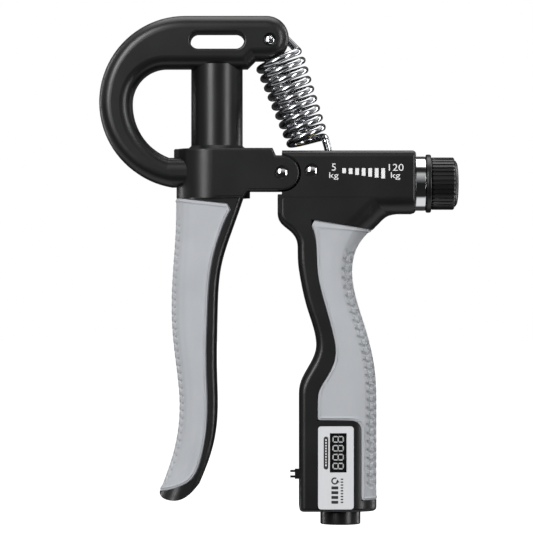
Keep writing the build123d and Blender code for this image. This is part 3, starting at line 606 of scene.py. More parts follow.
def plate_piece(name: str, outlines: Sequence[Array], front_y: float, back_y: float
                ) -> bpy.types.Object:
    """Make thin plates from closed X-Z outlines between two depths, joined in one piece.

    Args:
        name: The piece's name.
        outlines: Rows of x, z for each plate, in order round it.
        front_y: Depth of the front face.
        back_y: Depth of the back face.
    """
    points: list[Array] = []
    faces: list[list[int]] = []
    first = 0
    for outline in outlines:
        count = len(outline)
        for depth in (front_y, back_y):
            points.append(np.column_stack([outline[:, 0], np.full(count, depth), outline[:, 1]]))
        turn = np.arange(count)
        after = (turn + 1) % count
        faces += (first + np.stack([turn, after, count + after, count + turn], axis=1)).tolist()
        faces.append((turn[::-1] + first).tolist())
        faces.append((turn + count + first).tolist())
        first += 2 * count
    return mesh_piece(name, np.concatenate(points), faces)


def finished(piece: bpy.types.Object, finish: Finish, slot: str, body: str | None,
             *nodes: str) -> bpy.types.Object:
    """Give a piece its material and body, and hide the nodes it stands for.

    Args:
        piece: The new piece.
        finish: Its finish.
        slot: The record's material slot; not used.
        body: The body it rides on, or None to leave it unattached.
        nodes: CAD nodes that it replaces.
    """
    piece.data.materials.clear()
    piece.data.materials.append(finish_material(finish))
    if nodes:
        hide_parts(*nodes)
    if body is not None:
        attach(piece, body)
    log.info("%s: %d faces", piece.name, len(piece.data.polygons))
    return piece


def dress(finish: Finish, *nodes: str) -> None:
    """Give CAD nodes a procedural material."""
    for node in nodes:
        data = frame["nodes"][node].data
        data.materials.clear()
        data.materials.append(finish_material(finish))


# ---- Soft grips ----

@dataclass
class Tread:
    """Herringbone tread: zig-zag ribs that cross the gripped side.

    The height at (s, t) is a smooth rib of the phase s / pitch + sway * zigzag(t / wave), faded at
    the ends and towards the faces.
    """

    pitch: float
    wave: float
    sway: float
    height: float
    reach: float
    start: float
    end: float
    rib_edges: Point = (0.10, 0.26)
    split_edges: Point = (0.05, 0.12)
    split_depth: float = 0.55
    side_fade: float = 1.6
    start_fade: float = 5.0
    end_fade: float = 4.0

    def relief(self, s: Array, t: Array) -> Array:
        """Return the height over the unrolled surface, in millimetres, nought on a rib's top."""
        zigzag = np.abs(2.0 * (t / self.wave % 1.0) - 1.0)
        phase = (s / self.pitch + self.sway * zigzag) % 1.0
        rib = smoothstep(*self.rib_edges, np.abs(phase - 0.5))
        split = smoothstep(*self.split_edges, np.abs(t / self.wave * 2 % 1.0 - 0.5))
        fade = smoothstep(self.reach, self.reach - self.side_fade, np.abs(t))
        ends = (smoothstep(self.start, self.start + self.start_fade, s)
                * smoothstep(self.end, self.end - self.end_fade, s))
        rib *= 1.0 - self.split_depth + self.split_depth * split
        return (rib - 1.0) * self.height * fade * ends


@dataclass
class SoftGrip:
    """A soft sleeve that wraps one side of a handle.

    The gripped side is a curve in the mid-plane; a section square to it runs from the middle of the
    side (t = 0) over a quarter circle to the flat faces, on both sides of the mid-plane.
    """

    name: str
    node: str
    body: str
    side: Array
    outward: float
    half_depth: float
    rounding: float
    border: Array
    tread: Tread
    wall: float = 1.1
    line_height: float = 0.30
    line_inset: float = 0.95
    line_spread: float = 0.24
    seam_depth: float = 0.45
    seam_width: float = 0.38
    face_fade: float = 2.0
    tread_margin: Point = (1.5, 2.4)
    steady: float = 12.4
    steady_share: float = 0.86
    edge_crowding: float = 2.2
    rows: int = 560
    steady_columns: int = 49
    edge_columns: int = 24
    inner_step: int = 6
    gap_cap: float = 4.0
    gap_bands: int = 24

    def __post_init__(self) -> None:
        """Measure the gripped side: its length, direction and outward normal."""
        run = np.gradient(self.side, axis=0)
        run /= np.linalg.norm(run, axis=1)[:, None]
        steps = np.linalg.norm(np.diff(self.side, axis=0), axis=1)
        self.length = np.concatenate([[0.0], np.cumsum(steps)])
        self.normal = np.column_stack([-run[:, 1], run[:, 0]])
        self.normal *= np.sign(self.normal[len(run) // 2, 0]) * self.outward

    def unrolled(self) -> tuple[Array, Array]:
        """Return the border's (s, t): place along the side and distance from its middle."""
        gap = self.border[:, None] - self.side[None]
        nearest = np.argmin((gap ** 2).sum(-1), axis=1)
        inward = -(gap[np.arange(len(self.border)), nearest] * self.normal[nearest]).sum(-1)
        flat = self.half_depth - self.rounding
        arc = self.rounding * np.arccos(np.clip(1.0 - inward / self.rounding, -1.0, 1.0))
        past = np.pi / 2 * self.rounding + inward - self.rounding
        return self.length[nearest], flat + np.where(inward < self.rounding, arc, past)

    def surface(self, s: Array, t: Array, lift: Array) -> Array:
        """Return points of the sleeve.

        Args:
            s: Place along the side.
            t: Signed distance from the middle of the side, negative to the front.
            lift: Height above the plain surface.
        """
        x, z, nx, nz = (np.interp(s, self.length, column)
                        for column in (*self.side.T, *self.normal.T))
        scale = np.hypot(nx, nz)
        nx, nz = nx / scale, nz / scale
        flat, radius = self.half_depth - self.rounding, self.rounding
        reach = np.abs(t)
        turn = np.clip((reach - flat) / radius, 0.0, np.pi / 2)
        past = np.maximum(reach - flat - np.pi / 2 * radius, 0.0)
        inward = radius * (1 - np.cos(turn)) + past - lift * np.cos(turn)
        depth = np.minimum(reach, flat) + (radius + lift) * np.sin(turn)
        return np.stack([x - nx * inward, np.sign(t) * depth, z - nz * inward], axis=-1)

    def build(self) -> bpy.types.Object:
        """Build the sleeve as a closed shell with a raised border line and the tread."""
        border_s, border_t = self.unrolled()
        order = np.argsort(border_s, kind="stable")
        border = np.column_stack([border_s, border_t])
        low, high = border_s.min(), border_s.max()
        s = np.linspace(low, high, self.rows)
        half = self._columns(np.interp(s, border_s[order], border_t[order]))
        t = np.concatenate([-half[:, ::-1], half[:, 1:]], axis=1)
        along = np.repeat(s[:, None], t.shape[1], axis=1)
        edge = np.minimum(self._border_gap(border, along, np.abs(t)),
                          np.minimum(along - low, high - along))
        seam = -self.seam_depth * (1.0 - smoothstep(0.0, self.seam_width, edge))
        line = self.line_height * np.exp(-((edge - self.line_inset) / self.line_spread) ** 2)
        faces = smoothstep(self.tread.reach, self.tread.reach + self.face_fade, np.abs(t))
        lift = seam + line - self.line_height * faces
        lift += self.tread.relief(along, t) * smoothstep(*self.tread_margin, edge)
        inner_t = t[:, ::self.inner_step]
        inner_s = np.repeat(s[:, None], inner_t.shape[1], axis=1)
        inner = self.surface(inner_s, inner_t, np.full(inner_t.shape, -self.wall))
        return self._closed(self.surface(along, t, lift), inner)

    def _border_gap(self, border: Array, s: Array, t: Array) -> Array:
        """Return the distance from each grid point to the nearest border point, up to a cap.

        Only the border near a row can be near its points, so each band of rows is compared with the
        stretch of border within the cap.
        """
        cap = self.gap_cap
        gap = np.full(s.shape, cap)
        for rows in np.array_split(np.arange(len(s)), self.gap_bands):
            band = s[rows]
            near = border[(border[:, 0] > band.min() - cap) & (border[:, 0] < band.max() + cap)]
            away = np.hypot(band[..., None] - near[:, 0], t[rows][..., None] - near[:, 1]).min(-1)
            gap[rows] = np.minimum(away, cap)
        return gap

    def _columns(self, limit: Array) -> Array:
        """Return the distances of the columns on one side.

        The gripped side keeps its columns from row to row, and the rest crowd towards the border.

        Args:
            limit: The border's distance in each row.
        """
        steady_end = np.minimum(self.steady, limit * self.steady_share)[:, None]
        steady = steady_end * np.linspace(0.0, 1.0, self.steady_columns)[None]
        share = np.linspace(0.0, 1.0, self.edge_columns + 1)[None, 1:]
        crowded = 1.0 - (1.0 - share) ** self.edge_crowding
        rest = steady_end + (limit[:, None] - steady_end) * crowded
        return np.concatenate([steady, rest], axis=1)

    def _closed(self, outer: Array, inner: Array) -> bpy.types.Object:
        """Join the outer and inner grids round their four rims."""
        rows, columns = outer.shape[:2]
        coarse = inner.shape[1]
        first = rows * columns
        faces = grid_faces(rows, columns)
        faces += [quad[::-1] for quad in grid_faces(rows, coarse, first)]
        row = np.arange(rows - 1)
        for edge, back, turn in ((0, 0, 1), (columns - 1, coarse - 1, -1)):
            rim = np.stack([row * columns + edge, (row + 1) * columns + edge,
                            first + (row + 1) * coarse + back, first + row * coarse + back], axis=1)
            faces += rim[:, ::turn].tolist()
        span = np.arange(self.inner_step + 1)
        last = rows - 1
        for start, back, turn in ((0, first, -1), (last * columns, first + last * coarse, 1)):
            for step in range(coarse - 1):
                above = start + step * self.inner_step + span
                rim = np.concatenate([above, [back + step + 1, back + step]])
                faces.append(rim[::turn].tolist())
        points = np.concatenate([outer.reshape(-1, 3), inner.reshape(-1, 3)])
        piece = mesh_piece(self.name, points, faces, 50.0)
        return finished(piece, Finish.SOFT_GRIP, "soft_grip", self.body, self.node)


def corner_arc(centre: Point, radius: float, start: float, end: float, count: int = 10) -> Array:
    """Sample a corner of an outline between two angles in degrees."""
    angle = np.radians(np.linspace(start, end, count))
    return np.column_stack([centre[0] + radius * np.cos(angle), centre[1] + radius * np.sin(angle)])


def line_between(start: Sequence[float], end: Sequence[float], count: int = 60) -> Array:
    """Sample a straight stretch."""
    return np.linspace(np.array(start, float), np.array(end, float), count)


def palm_sleeve() -> SoftGrip:
    """Describe the sleeve on the palm arm."""
    foot = line_between((30.7, -107.0), (30.7, -75.0), 160)
    bulge = curve_through(
        [(30.7, -75.0), (30.0, -62.5), (25.9, -46.5), (22.9, -34.0), (24.3, -24.3), (31.4, -16.4),
         (39.0, -13.1)], (0, 1), (1, 0), 700)
    edge = curve_through(
        [(9.4, -17.2), (10.9, -24.0), (11.3, -31.9), (13.7, -42.5), (16.4, -52.5), (17.1, -58.0),
         (15.2, -64.3), (11.9, -70.0), (11.3, -74.5)], (1, -2), (0, -1), 400)
    border = np.concatenate([
        line_between((32.0, -18.7), (10.6, -15.2), 200), edge,
        line_between((11.3, -74.5), (11.3, -79.2)),
        corner_arc((12.1, -79.2), 0.8, 180, 270), line_between((12.1, -80.0), (22.5, -80.02)),
        corner_arc((22.5, -83.0), 3.0, 90, 0), line_between((25.5, -83.0), (25.5, -104.8)),
        corner_arc((26.7, -104.8), 1.2, 180, 270), line_between((26.7, -106.0), (31.0, -105.9))])
    return SoftGrip(
        "palm_sleeve", "palm_grip_sleeve", "palm_arm", np.concatenate([foot[:-1], bulge]), 1.0,
        12.0, 8.0, border, Tread(2.7, 4.6, 0.5, 0.60, 12.2, 3.0, 84.0))


def finger_sleeve() -> SoftGrip:
    """Describe the sleeve on the lever."""
    side = curve_through(
        [(-34.4, -2.0), (-34.5, -17.4), (-35.8, -39.0), (-35.2, -55.8), (-33.3, -75.5),
         (-35.3, -90.6), (-40.0, -104.0), (-43.0, -112.0)], None, None, 900)
    edge = curve_through(
        [(-16.6, -12.0), (-19.7, -18.8), (-22.6, -29.0), (-24.1, -46.4), (-24.4, -62.0),
         (-24.1, -79.0), (-26.2, -92.8), (-29.8, -99.6), (-35.7, -102.2), (-44.0, -104.0)],
        (-0.6, -1), (-1, -0.2), 500)
    border = np.concatenate([line_between((-34.45, -8.1), (-33.0, -8.1), 20),
                             line_between((-33.0, -8.1), (-17.6, -9.8), 160),
                             line_between((-17.6, -9.8), (-16.6, -12.0), 20), edge])
    border = border[border[:, 0] > -39.9]
    return SoftGrip(
        "finger_sleeve", "finger_grip", "ring_lever", side[::-1], -1.0, 11.0, 6.5, border,
        Tread(2.4, 4.0, 0.45, 0.30, 9.8, 10.0, 100.0))


# ---- Spring ----

@dataclass
class TensionSpring:
    """A tapered extension spring of one wire: eye, shank, coils, shank, eye."""

    wire: float = 1.2
    bottom: Point = (8.64, 10.2)
    top: Point = (-1.10, 37.8)
    bottom_radius: float = 5.75
    top_radius: float = 7.1
    turns: float = 9.0
    lower_eye_radius: float = 2.6
    upper_eye_radius: float = 4.2
    samples_per_turn: int = 40
    first_turn: float = 0.10
    run_in: float = 0.04
    joint_inset: float = 1.4
    pin: Array = field(default_factory=lambda: sum(seen_box("spring_pin_bush")) / 2)
    hook: Array = field(default_factory=lambda: sum(seen_box("hook_pin")) / 2)

    def __post_init__(self) -> None:
        """Work out the coil's axis."""
        run = np.array([self.top[0] - self.bottom[0], 0.0, self.top[1] - self.bottom[1]])
        self.height = float(np.linalg.norm(run))
        self.up = run / self.height
        self.right = np.array([self.up[2], 0.0, -self.up[0]])
        self.origin = np.array([self.bottom[0], 0.0, self.bottom[1]])

    def coil(self, first: float, last: float) -> tuple[Array, Array]:
        """Return the wire's path and its outward direction between two turn counts.

        The path is origin + up * height * n / turns + R(n) (cos a * right + sin a * Y), a = 2 pi n.
        """
        count = max(int((last - first) * self.samples_per_turn), 4)
        turn = np.linspace(first, last, count)[:, None]
        share = turn / self.turns
        radius = self.bottom_radius + (self.top_radius - self.bottom_radius) * share
        outward = (np.cos(2 * np.pi * turn) * self.right
                   + np.sin(2 * np.pi * turn) * np.array([0.0, 1.0, 0.0]))
        return self.origin + self.up * self.height * share + radius * outward, outward

    def _eye(self, centre: Array, radius: float, start: float, end: float, count: int) -> Array:
        """Sample an eye in the mid-plane between two angles in degrees."""
        flat = corner_arc((centre[0], centre[2]), radius, start, end, count)
        return np.column_stack([flat[:, 0], np.zeros(count), flat[:, 1]])

    def _bend(self, start: Array, start_slope: Array, end: Array, end_slope: Array, count: int
              ) -> Array:
        """Sample a bend of the wire between two places with given slopes."""
        return hermite(start, start_slope, end, end_slope, np.linspace(0.0, 1.0, count)[:, None])

    def lower_end(self) -> bpy.types.Object:
        """The lower eye, its straight shank and the bend into the first coil."""
        coil, _ = self.coil(self.first_turn, self.first_turn + self.run_in)
        rise = np.array([-0.1, 0.0, 1.0])
        eye = self._eye(self.hook, self.lower_eye_radius, -200, 70, 60)
        eye_run = eye[-1] - eye[-2]
        eye_run /= np.linalg.norm(eye_run)
        crown = np.array([self.hook[0] - 0.3, 0.0, self.hook[2] + self.lower_eye_radius + 2.4])
        jog = self._bend(eye[-1], eye_run * 2.2, crown, rise * 2.5, 12)
        shank_top = np.array([self.hook[0] - 0.9, 0.0, self.origin[2] + 0.4])
        shank = line_between(crown, shank_top, 10)
        run = coil[-1] - coil[0]
        bend = self._bend(shank_top, rise * 3.6, coil[0], run / np.linalg.norm(run) * 4.2, 16)
        path = np.concatenate([eye, jog[1:], shank[1:], bend[1:]])
        return tube_piece("spring_lower_end", path, self._hook_sides(path), self.wire)

    def _hook_sides(self, path: Array) -> Array:
        """Return side vectors for a hook: across the coil where the wire leaves the mid-plane."""
        run = np.gradient(path, axis=0)
        run /= np.linalg.norm(run, axis=1)[:, None]
        level = np.array([0.0, 1.0, 0.0]) + 0 * run
        share = smoothstep(0.05, 0.6, np.abs(run[:, 1]))[:, None]
        across = np.cross(run, np.cross(self.right + 0 * run, run))
        return level * (1 - share) + across * share

    def upper_end(self) -> bpy.types.Object:
        """The bend out of the last coil, the slanted shank and the upper eye."""
        last_turn = self.turns - self.first_turn
        coil, _ = self.coil(last_turn - self.run_in, last_turn)
        eye = self._eye(self.pin, self.upper_eye_radius, 45, 330, 70)
        shank_end = eye[0]
        slant = np.array([-1.0, 0.0, 1.0]) / np.sqrt(2.0)
        shank_start = shank_end - slant * 7.6
        run = coil[-1] - coil[0]
        bend = self._bend(coil[-1], run / np.linalg.norm(run) * 5.0, shank_start, slant * 5.0, 18)
        path = np.concatenate([bend, line_between(shank_start, shank_end, 12)[1:], eye[1:]])
        return tube_piece("spring_upper_end", path, self._hook_sides(path), self.wire)

    def build(self) -> None:
        """Build the four stretches; only the upper end is joined to a body, the upper hook's."""
        middle, half, inset = self.turns / 2, self.height / 2, self.joint_inset
        lower = finished(self.lower_end(), Finish.WIRE, "spring_wire", None, "spring_lower_hook")
        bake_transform(lower)
        for name, first, last, node, bodies, start, end in (
                ("spring_coils_low", self.first_turn, middle, "spring_lower_coils",
                 ("lower_coils", "upper_coils"), inset, half - inset),
                ("spring_coils_high", middle, self.turns - self.first_turn, "spring_upper_coils",
                 ("upper_coils", "upper_hook"), half + inset, self.height - inset)):
            piece = tube_piece(name, *self.coil(first, last), self.wire)
            finished(piece, Finish.WIRE, "spring_wire", None, node)
            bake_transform(piece)
        finished(self.upper_end(), Finish.WIRE, "spring_wire", "upper_hook", "spring_upper_hook")


# ---- Knob and barrel end ----

@dataclass
class KnobEnd:
    """The bright band, the rim, the ribbed knob and its domed cap, in line with the lead screw."""

    ribs: int = 36
    rib_depth: float = 0.42
    rib_floor: float = 0.6
    points_per_rib: int = 12
    rounding: float = 0.45
    bore: float = 2.5
    around: int = 144

    def __post_init__(self) -> None:
        """Measure the knob at its node's place."""
        low, high = seen_box("tension_knob")
        middle = (low + high) / 2
        self.centre = (0.0, middle[1], middle[2])
        self.start, self.end, self.radius = low[0], high[0], (high[2] - low[2]) / 2

    def ribbed(self, height: Array, radius: Array, angle: Array) -> Array:
        """Return the radius with rounded ribs: it drops by rib_depth where cos(ribs * a) is low."""
        wave = np.cos(self.ribs * angle)
        groove = smoothstep(-0.15, -0.85, wave) * self.rib_depth
        return np.where(radius > self.radius - self.rib_floor, radius - groove, radius)

    def build(self) -> None:
        """Build the four turned pieces at their nodes' places."""
        start, end, radius, bevel = self.start, self.end, self.radius, 0.3
        knob = turned_piece("ribbed_knob", Way.ALONG_X, self.centre, [
            (start, self.bore), (start, radius - bevel), (start + bevel, radius),
            (end - self.rounding, radius), (end - 0.1, radius - bevel), (end, radius - 0.9),
            (end, self.bore), (start, self.bore)],
            self.ribs * self.points_per_rib, self.ribbed, 40.0)
        finished(knob, Finish.KNOB_BLACK, "knob_black", "knob", "tension_knob")
        flange = self._hoop("knob_rim", "knob_flange", self.bore, 0.55)
        finished(flange, Finish.KNOB_BLACK, "knob_black", "knob", "knob_flange")
        self._cap()
        band = self._hoop("barrel_band", "barrel_collar", 5.7, 0.3)
        finished(band, Finish.BRIGHT, "bright_steel", "palm_arm", "barrel_collar")

    def _hoop(self, name: str, node: str, inner: float, rounding: float) -> bpy.types.Object:
        """Turn a plain hoop at a node's place, its outer corners rounded."""
        low, high = seen_box(node)
        outer = (high[2] - low[2]) / 2
        profile = rounded([
            (low[0], inner, 0), (low[0], outer, rounding), (high[0], outer, rounding),
            (high[0], inner, 0), (low[0], inner, 0)])
        return turned_piece(name, Way.ALONG_X, self.centre, profile, self.around)

    def _cap(self) -> None:
        """Build the cap: a bevel, then a shallow dome r^2 = R^2 - h^2 in profile."""
        low, high = seen_box("knob_cap")
        start, end = low[0], high[0]
        bevel, dome = start + 0.7, 6.9
        turn = np.linspace(0.0, 1.0, 14)[:-1] * np.pi / 2
        arc = np.column_stack([bevel + (end - bevel) * np.sin(turn), dome * np.cos(turn)]).tolist()
        profile = [(start, 0.0), (start, self.radius - 0.95), (start + 0.1, self.radius - 0.9),
                   (bevel - 0.15, dome + 0.35), *arc, (end, 0.0)]
        cap = turned_piece("knob_dome", Way.ALONG_X, self.centre, profile, self.around)
        finished(cap, Finish.KNOB_BLACK, "knob_black", "knob", "knob_cap")


# ---- Fasteners ----

@dataclass
class PinScrew:
    """The cross-head spring pin screw in the top bar."""

    head_radius: float = 2.05
    dome: float = 0.75
    cross_length: float = 1.35
    cross_width: float = 0.36
    cross_depth: float = 0.7
    shank: Point = (1.4, 0.7)
    neck: float = 0.85
    rings: int = 26
    around: int = 96

    def _slot(self, across: Array, along: Array) -> Array:
        """Return one where a slot is cut, with soft edges."""
        edge, end = 0.08, 0.3
        return (smoothstep(self.cross_width + edge, self.cross_width - edge, np.abs(across))
                * smoothstep(self.cross_length, self.cross_length - end, np.abs(along)))

    def build(self) -> None:
        """Build the screw; the head's dome sinks to the cross depth where |u| or |v| is small."""
        low, high = seen_box("spring_pin_screw")
        centre = (low + high) / 2
        radii = np.linspace(0.0, 1.0, self.rings)[1:] ** 0.8 * self.head_radius
        radii = np.concatenate([radii, [self.shank[0], self.shank[0], self.shank[1]]])[:, None]
        angle = np.linspace(0, 2 * np.pi, self.around, endpoint=False)[None]
        u, v = radii * np.cos(angle), radii * np.sin(angle)
        dome = self.dome * (radii / self.head_radius) ** 2
        depth = low[1] + dome + np.maximum(self._slot(u, v), self._slot(v, u)) * self.cross_depth
        depth[-3:] = np.array([low[1] + self.neck, high[1], high[1]])[:, None]
        shell = np.stack([centre[0] + u, depth, centre[2] + v], axis=-1)
        poles = np.array([[centre[0], low[1] + self.cross_depth, centre[2]],
                          [centre[0], high[1], centre[2]]])
        points = np.concatenate([shell.reshape(-1, 3), poles])
        piece = mesh_piece("spring_pin_head", points, capped_faces(len(shell), self.around), 40.0)
        finished(piece, Finish.BRIGHT, "bright_steel", "ring_lever", "spring_pin_screw")


# ---- Print ----

class Facing(Enum):
    """How print lies on a front face: as (reading direction, upward direction) in X-Z."""

    LEVEL = ((1.0, 0.0), (0.0, 1.0))
    TURNED = ((0.0, -1.0), (1.0, 0.0))


def rectangle(x: Point, z: Point, radius: float = 0.0, steps: int = 5) -> Array:
    """Return a rectangle's outline with rounded corners."""
    if radius == 0.0:
        return np.array([(x[0], z[0]), (x[1], z[0]), (x[1], z[1]), (x[0], z[1])])
    corners = ((x[1] - radius, z[1] - radius, 0), (x[0] + radius, z[1] - radius, 90),
               (x[0] + radius, z[0] + radius, 180), (x[1] - radius, z[0] + radius, 270))
    return np.concatenate([corner_arc((cx, cz), radius, start, start + 90, steps + 1)
                           for cx, cz, start in corners])


def lettering(name: str, words: str, centre: Point, height: float, facing: Facing, front_y: float,
              width: float | None = None) -> bpy.types.Object:
    """Set generic words or numbers as thin raised print.

    Args:
        name: The piece's name.
        words: What it says.
        centre: Middle of the print, (x, z).
        height: Height of a capital or figure.
        facing: How it lies.
        front_y: Depth of its front face.
        width: Length of the line, or None for the type's own.

    Returns:
        The piece as a mesh at the origin.
    """
    curve = bpy.data.curves.new(name, "FONT")
    curve.body = words
    curve.extrude = 0.04
    curve.resolution_u = 4
    holder = bpy.data.objects.new(name, curve)
    bpy.context.scene.collection.objects.link(holder)
    depsgraph = bpy.context.evaluated_depsgraph_get()
    mesh = bpy.data.meshes.new_from_object(holder.evaluated_get(depsgraph))
    bpy.data.objects.remove(holder)
    co = np.empty(len(mesh.vertices) * 3)
    mesh.vertices.foreach_get("co", co)
    co = co.reshape(-1, 3)
    flat = co[:, :2] - (co[:, :2].min(0) + co[:, :2].max(0)) / 2
    size = np.ptp(flat, axis=0)
    flat *= np.array([width / size[0] if width else height / size[1], height / size[1]])
    along, up = (np.array(vector) for vector in facing.value)
    place = np.array(centre) + flat[:, :1] * along + flat[:, 1:] * up
    depth = np.where(co[:, 2] > 0, front_y, front_y + 0.06)
    points = placed(np.column_stack([place[:, 0], depth, place[:, 1]]))
    mesh.vertices.foreach_set("co", points.ravel())
    mesh.update()
    if signed_volume(mesh) < 0:
        mesh.flip_normals()
    piece = bpy.data.objects.new(name, mesh)
    bpy.context.scene.collection.objects.link(piece)
    return piece


def printed(name: str, outlines: Sequence[Array], finish: Finish, slot: str, front_y: float,
            depth: float, *nodes: str) -> None:
    """Print closed outlines on the palm arm, their front at front_y."""
    plate = plate_piece(name, outlines, front_y, front_y + depth)
    finished(plate, finish, slot, "palm_arm", *nodes)


@dataclass
class BarrelScale:
    """The printed setting scale on the barrel: figures, units and growing bars."""

    front_y: float = -12.05
    bars: int = 7
    bar_start: float = 19.4
    bar_pitch: float = 2.1
    bar_width: float = 1.2
    bar_top: float = 1.5

    def build(self) -> None:
        """Build the bars and the four words."""
        places = self.bar_start + self.bar_pitch * np.arange(self.bars)
        heights = np.linspace(1.6, 3.3, self.bars)
        outlines = [rectangle((x, x + self.bar_width), (self.bar_top - height, self.bar_top))
                    for x, height in zip(places, heights)]
        printed("scale_bars", outlines, Finish.WHITE_INK, "white_print", self.front_y, 0.04,
                "scale_marks")
        for name, words, centre, height, width in (
                ("low_figure", "5", (16.7, 1.85), 2.3, None),
                ("low_unit", "kg", (16.7, -1.05), 2.45, 3.0),
                ("high_figure", "120", (36.8, 1.75), 2.2, 4.8),
                ("high_unit", "kg", (36.6, -1.05), 2.45, 3.0)):
            word = lettering(name, words, centre, height, Facing.LEVEL, self.front_y, width)
            finished(word, Finish.WHITE_INK, "white_print", "palm_arm")


@dataclass
class CounterFace:
    """The counter's printed label and its four-digit display, read with the object on its side."""

    digit_count: int = 4
    segment: float = 0.38
    digit_high: float = 3.3
    digit_wide: float = 1.75
    margin: float = 0.6
    ink: float = 0.05

    def segments(self) -> list[Array]:
        """Return the seven segments of a lit figure eight, as six-sided outlines about its middle.

        A segment from a to b has its points at a, b and half the stroke to each side.
        """
        w, h, s = self.digit_wide / 2, self.digit_high / 2, self.segment
        ends = [((-w, h), (w, h)), ((-w, 0), (w, 0)), ((-w, -h), (w, -h)),
                ((-w, h), (-w, 0)), ((-w, 0), (-w, -h)), ((w, h), (w, 0)), ((w, 0), (w, -h))]
        shapes = []
        for start, end in ends:
            a, b = np.array(start, float), np.array(end, float)
            run = (b - a) / np.linalg.norm(b - a)
            a, b = a + run * s * 0.25, b - run * s * 0.25
            side = np.array([-run[1], run[0]]) * s / 2
            shapes.append(np.array([a, a + run * s / 2 + side, b - run * s / 2 + side, b,
                                    b - run * s / 2 - side, a + run * s / 2 - side]))
        return shapes

    def build(self) -> None:
        """Build the digits, the pill and its bars, the turning arrow, four bars and the ticks."""
        low, high = seen_box("display_window")
        panel_front = seen_box("display_panel")[0][1]
        along, up = (np.array(vector) for vector in Facing.TURNED.value)
        pitch = (high[2] - low[2] - 2 * self.margin) / self.digit_count
        digits = []
        for index in range(self.digit_count):
            across = high[2] - self.margin - pitch * (index + 0.5)
            centre = np.array([(low[0] + high[0]) / 2, across])
            digits += [centre + shape[:, :1] * along + shape[:, 1:] * up
                       for shape in self.segments()]
        printed("display_digits", digits, Finish.DIGITS, "white_print", panel_front - 0.05, 0.04)

        front = seen_box("counter_label")[0][1] - 0.03
        pill = [rectangle((13.4, 14.9), (-95.7, -85.1), 0.72, 8)]
        printed("label_pill", pill, Finish.BLACK_INK, "display_dark", front, self.ink)
        ticks = [rectangle((13.95, 14.35), (z, z + 0.55)) for z in np.arange(-94.6, -86.3, 0.9)]
        printed("pill_bars", ticks, Finish.WHITE_INK, "white_print", front - 0.02, 0.03)
        outer, inner = (corner_arc((0.0, 0.0), radius, 60, 360, 28) for radius in (1.15, 0.70))
        icon = np.concatenate([outer, inner[::-1]]) + np.array([17.0, -99.4])
        arrow = np.array([(17.85, -98.9), (18.5, -99.9), (17.35, -99.9)])
        bars = [rectangle((15.9, 18.1), (z, z + 0.95), 0.15, 3)
                for z in (-102.1, -103.65, -105.2, -106.75)]
        marks = [icon, arrow, *bars]
        printed("label_marks", marks, Finish.BLACK_INK, "display_dark", front, self.ink)
        small = [rectangle((18.9, 19.7), (z, z + 0.42)) for z in np.arange(-106.5, -98.2, 0.93)]
        printed("label_bars", small, Finish.BLACK_INK, "display_dark", front, self.ink)


@dataclass
class ResetButton:
    """The plain reset knob under the counter."""

    rounding: float = 0.5
    rim_rounding: float = 0.2
    socket: Point = (2.05, 2.1)

    def build(self) -> None:
        """Turn the knob, with a socket for its spindle in the top."""
        low, high = seen_box("reset_knob")
        centre = ((low[0] + high[0]) / 2, 0.0, 0.0)
        radius = (high[0] - low[0]) / 2
        bore, depth = self.socket
        profile = rounded([
            (low[2], 0.0, 0), (low[2], radius, self.rounding), (high[2], radius, self.rim_rounding),
            (high[2], bore, 0), (high[2] - depth, bore, 0), (high[2] - depth, 0.0, 0)])
        knob = turned_piece("reset_button", Way.ALONG_Z, centre, profile, 120)
        finished(knob, Finish.KNOB_BLACK, "knob_black", "reset_cap", "reset_knob")


def dress_frame() -> None:
    """Give every CAD node that keeps its own shape a procedural material."""
    dress(Finish.BLACK_MOULDING, "ring_frame", "support_post", "count_trigger")
    dress(Finish.BLACK_SHELL, "palm_case_front", "palm_case_rear", "battery_cover")
    dress(Finish.KNOB_BLACK, "trigger_switch")
    dress(Finish.BRIGHT, "pivot_pin", "case_screws")
    dress(Finish.STEEL, "case_nuts", "coin_cell", "trigger_spring", "reset_spindle", "reset_clip",
          "reset_spring", "post_core", "spring_pin_nut", "spring_pin_bush", "lead_screw",
          "knob_pin", "hook_pin")
    dress(Finish.BRASS, "pivot_bush", "thrust_washer", "battery_contacts", "travel_nut")
    dress(Finish.LABEL, "counter_label")
    dress(Finish.WINDOW, "display_window")
    dress(Finish.DISPLAY, "display_panel")
    dress(Finish.CONTACT, "contact_strips")
    dress(Finish.BOARD, "counter_board")


def close_springs() -> None:
    """Give the two small return springs, of the reset push and the trigger press, meshes of their
    own.
    """
    for node, joint, axis, stroke in (("reset_spring", "reset_push", 2, 1.5),
                                      ("trigger_spring", "trigger_press", 0, 1.4)):
        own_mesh(frame["nodes"][node])


# ---- Studio ----

GLOSSY_BANDS = [
    (0.0, 0.05), (0.17, 0.05), (0.20, 0.85), (0.31, 0.85), (0.34, 0.02), (0.50, 0.015),
    (0.53, 0.14), (0.61, 0.60), (0.64, 0.03), (0.69, 0.02), (0.72, 1.0), (0.83, 1.0),
    (0.87, 0.1), (1.0, 0.05)]


@dataclass
class SoftBox:
    """A soft rectangular lamp that faces a target."""

    name: str
    place: tuple[float, float, float]
    size: Point
    power: float
    target: tuple[float, float, float] = (-0.02, 0.0, 0.01)

    def build(self) -> None:
        """Add the lamp."""
        data = bpy.data.lights.new(self.name, "AREA")
        data.shape = "RECTANGLE"
        data.size, data.size_y = self.size
        data.energy = self.power
        lamp = bpy.data.objects.new(self.name, data)
        lamp.location = self.place
        aim_at(lamp, self.target)
        bpy.context.scene.collection.objects.link(lamp)


def aim_at(thing: bpy.types.Object, target: Sequence[float]) -> None:
    """Turn a lamp or camera so that it looks at a point."""
    run = Vector(target) - Vector(thing.location)
    thing.rotation_euler = run.to_track_quat("-Z", "Y").to_euler()


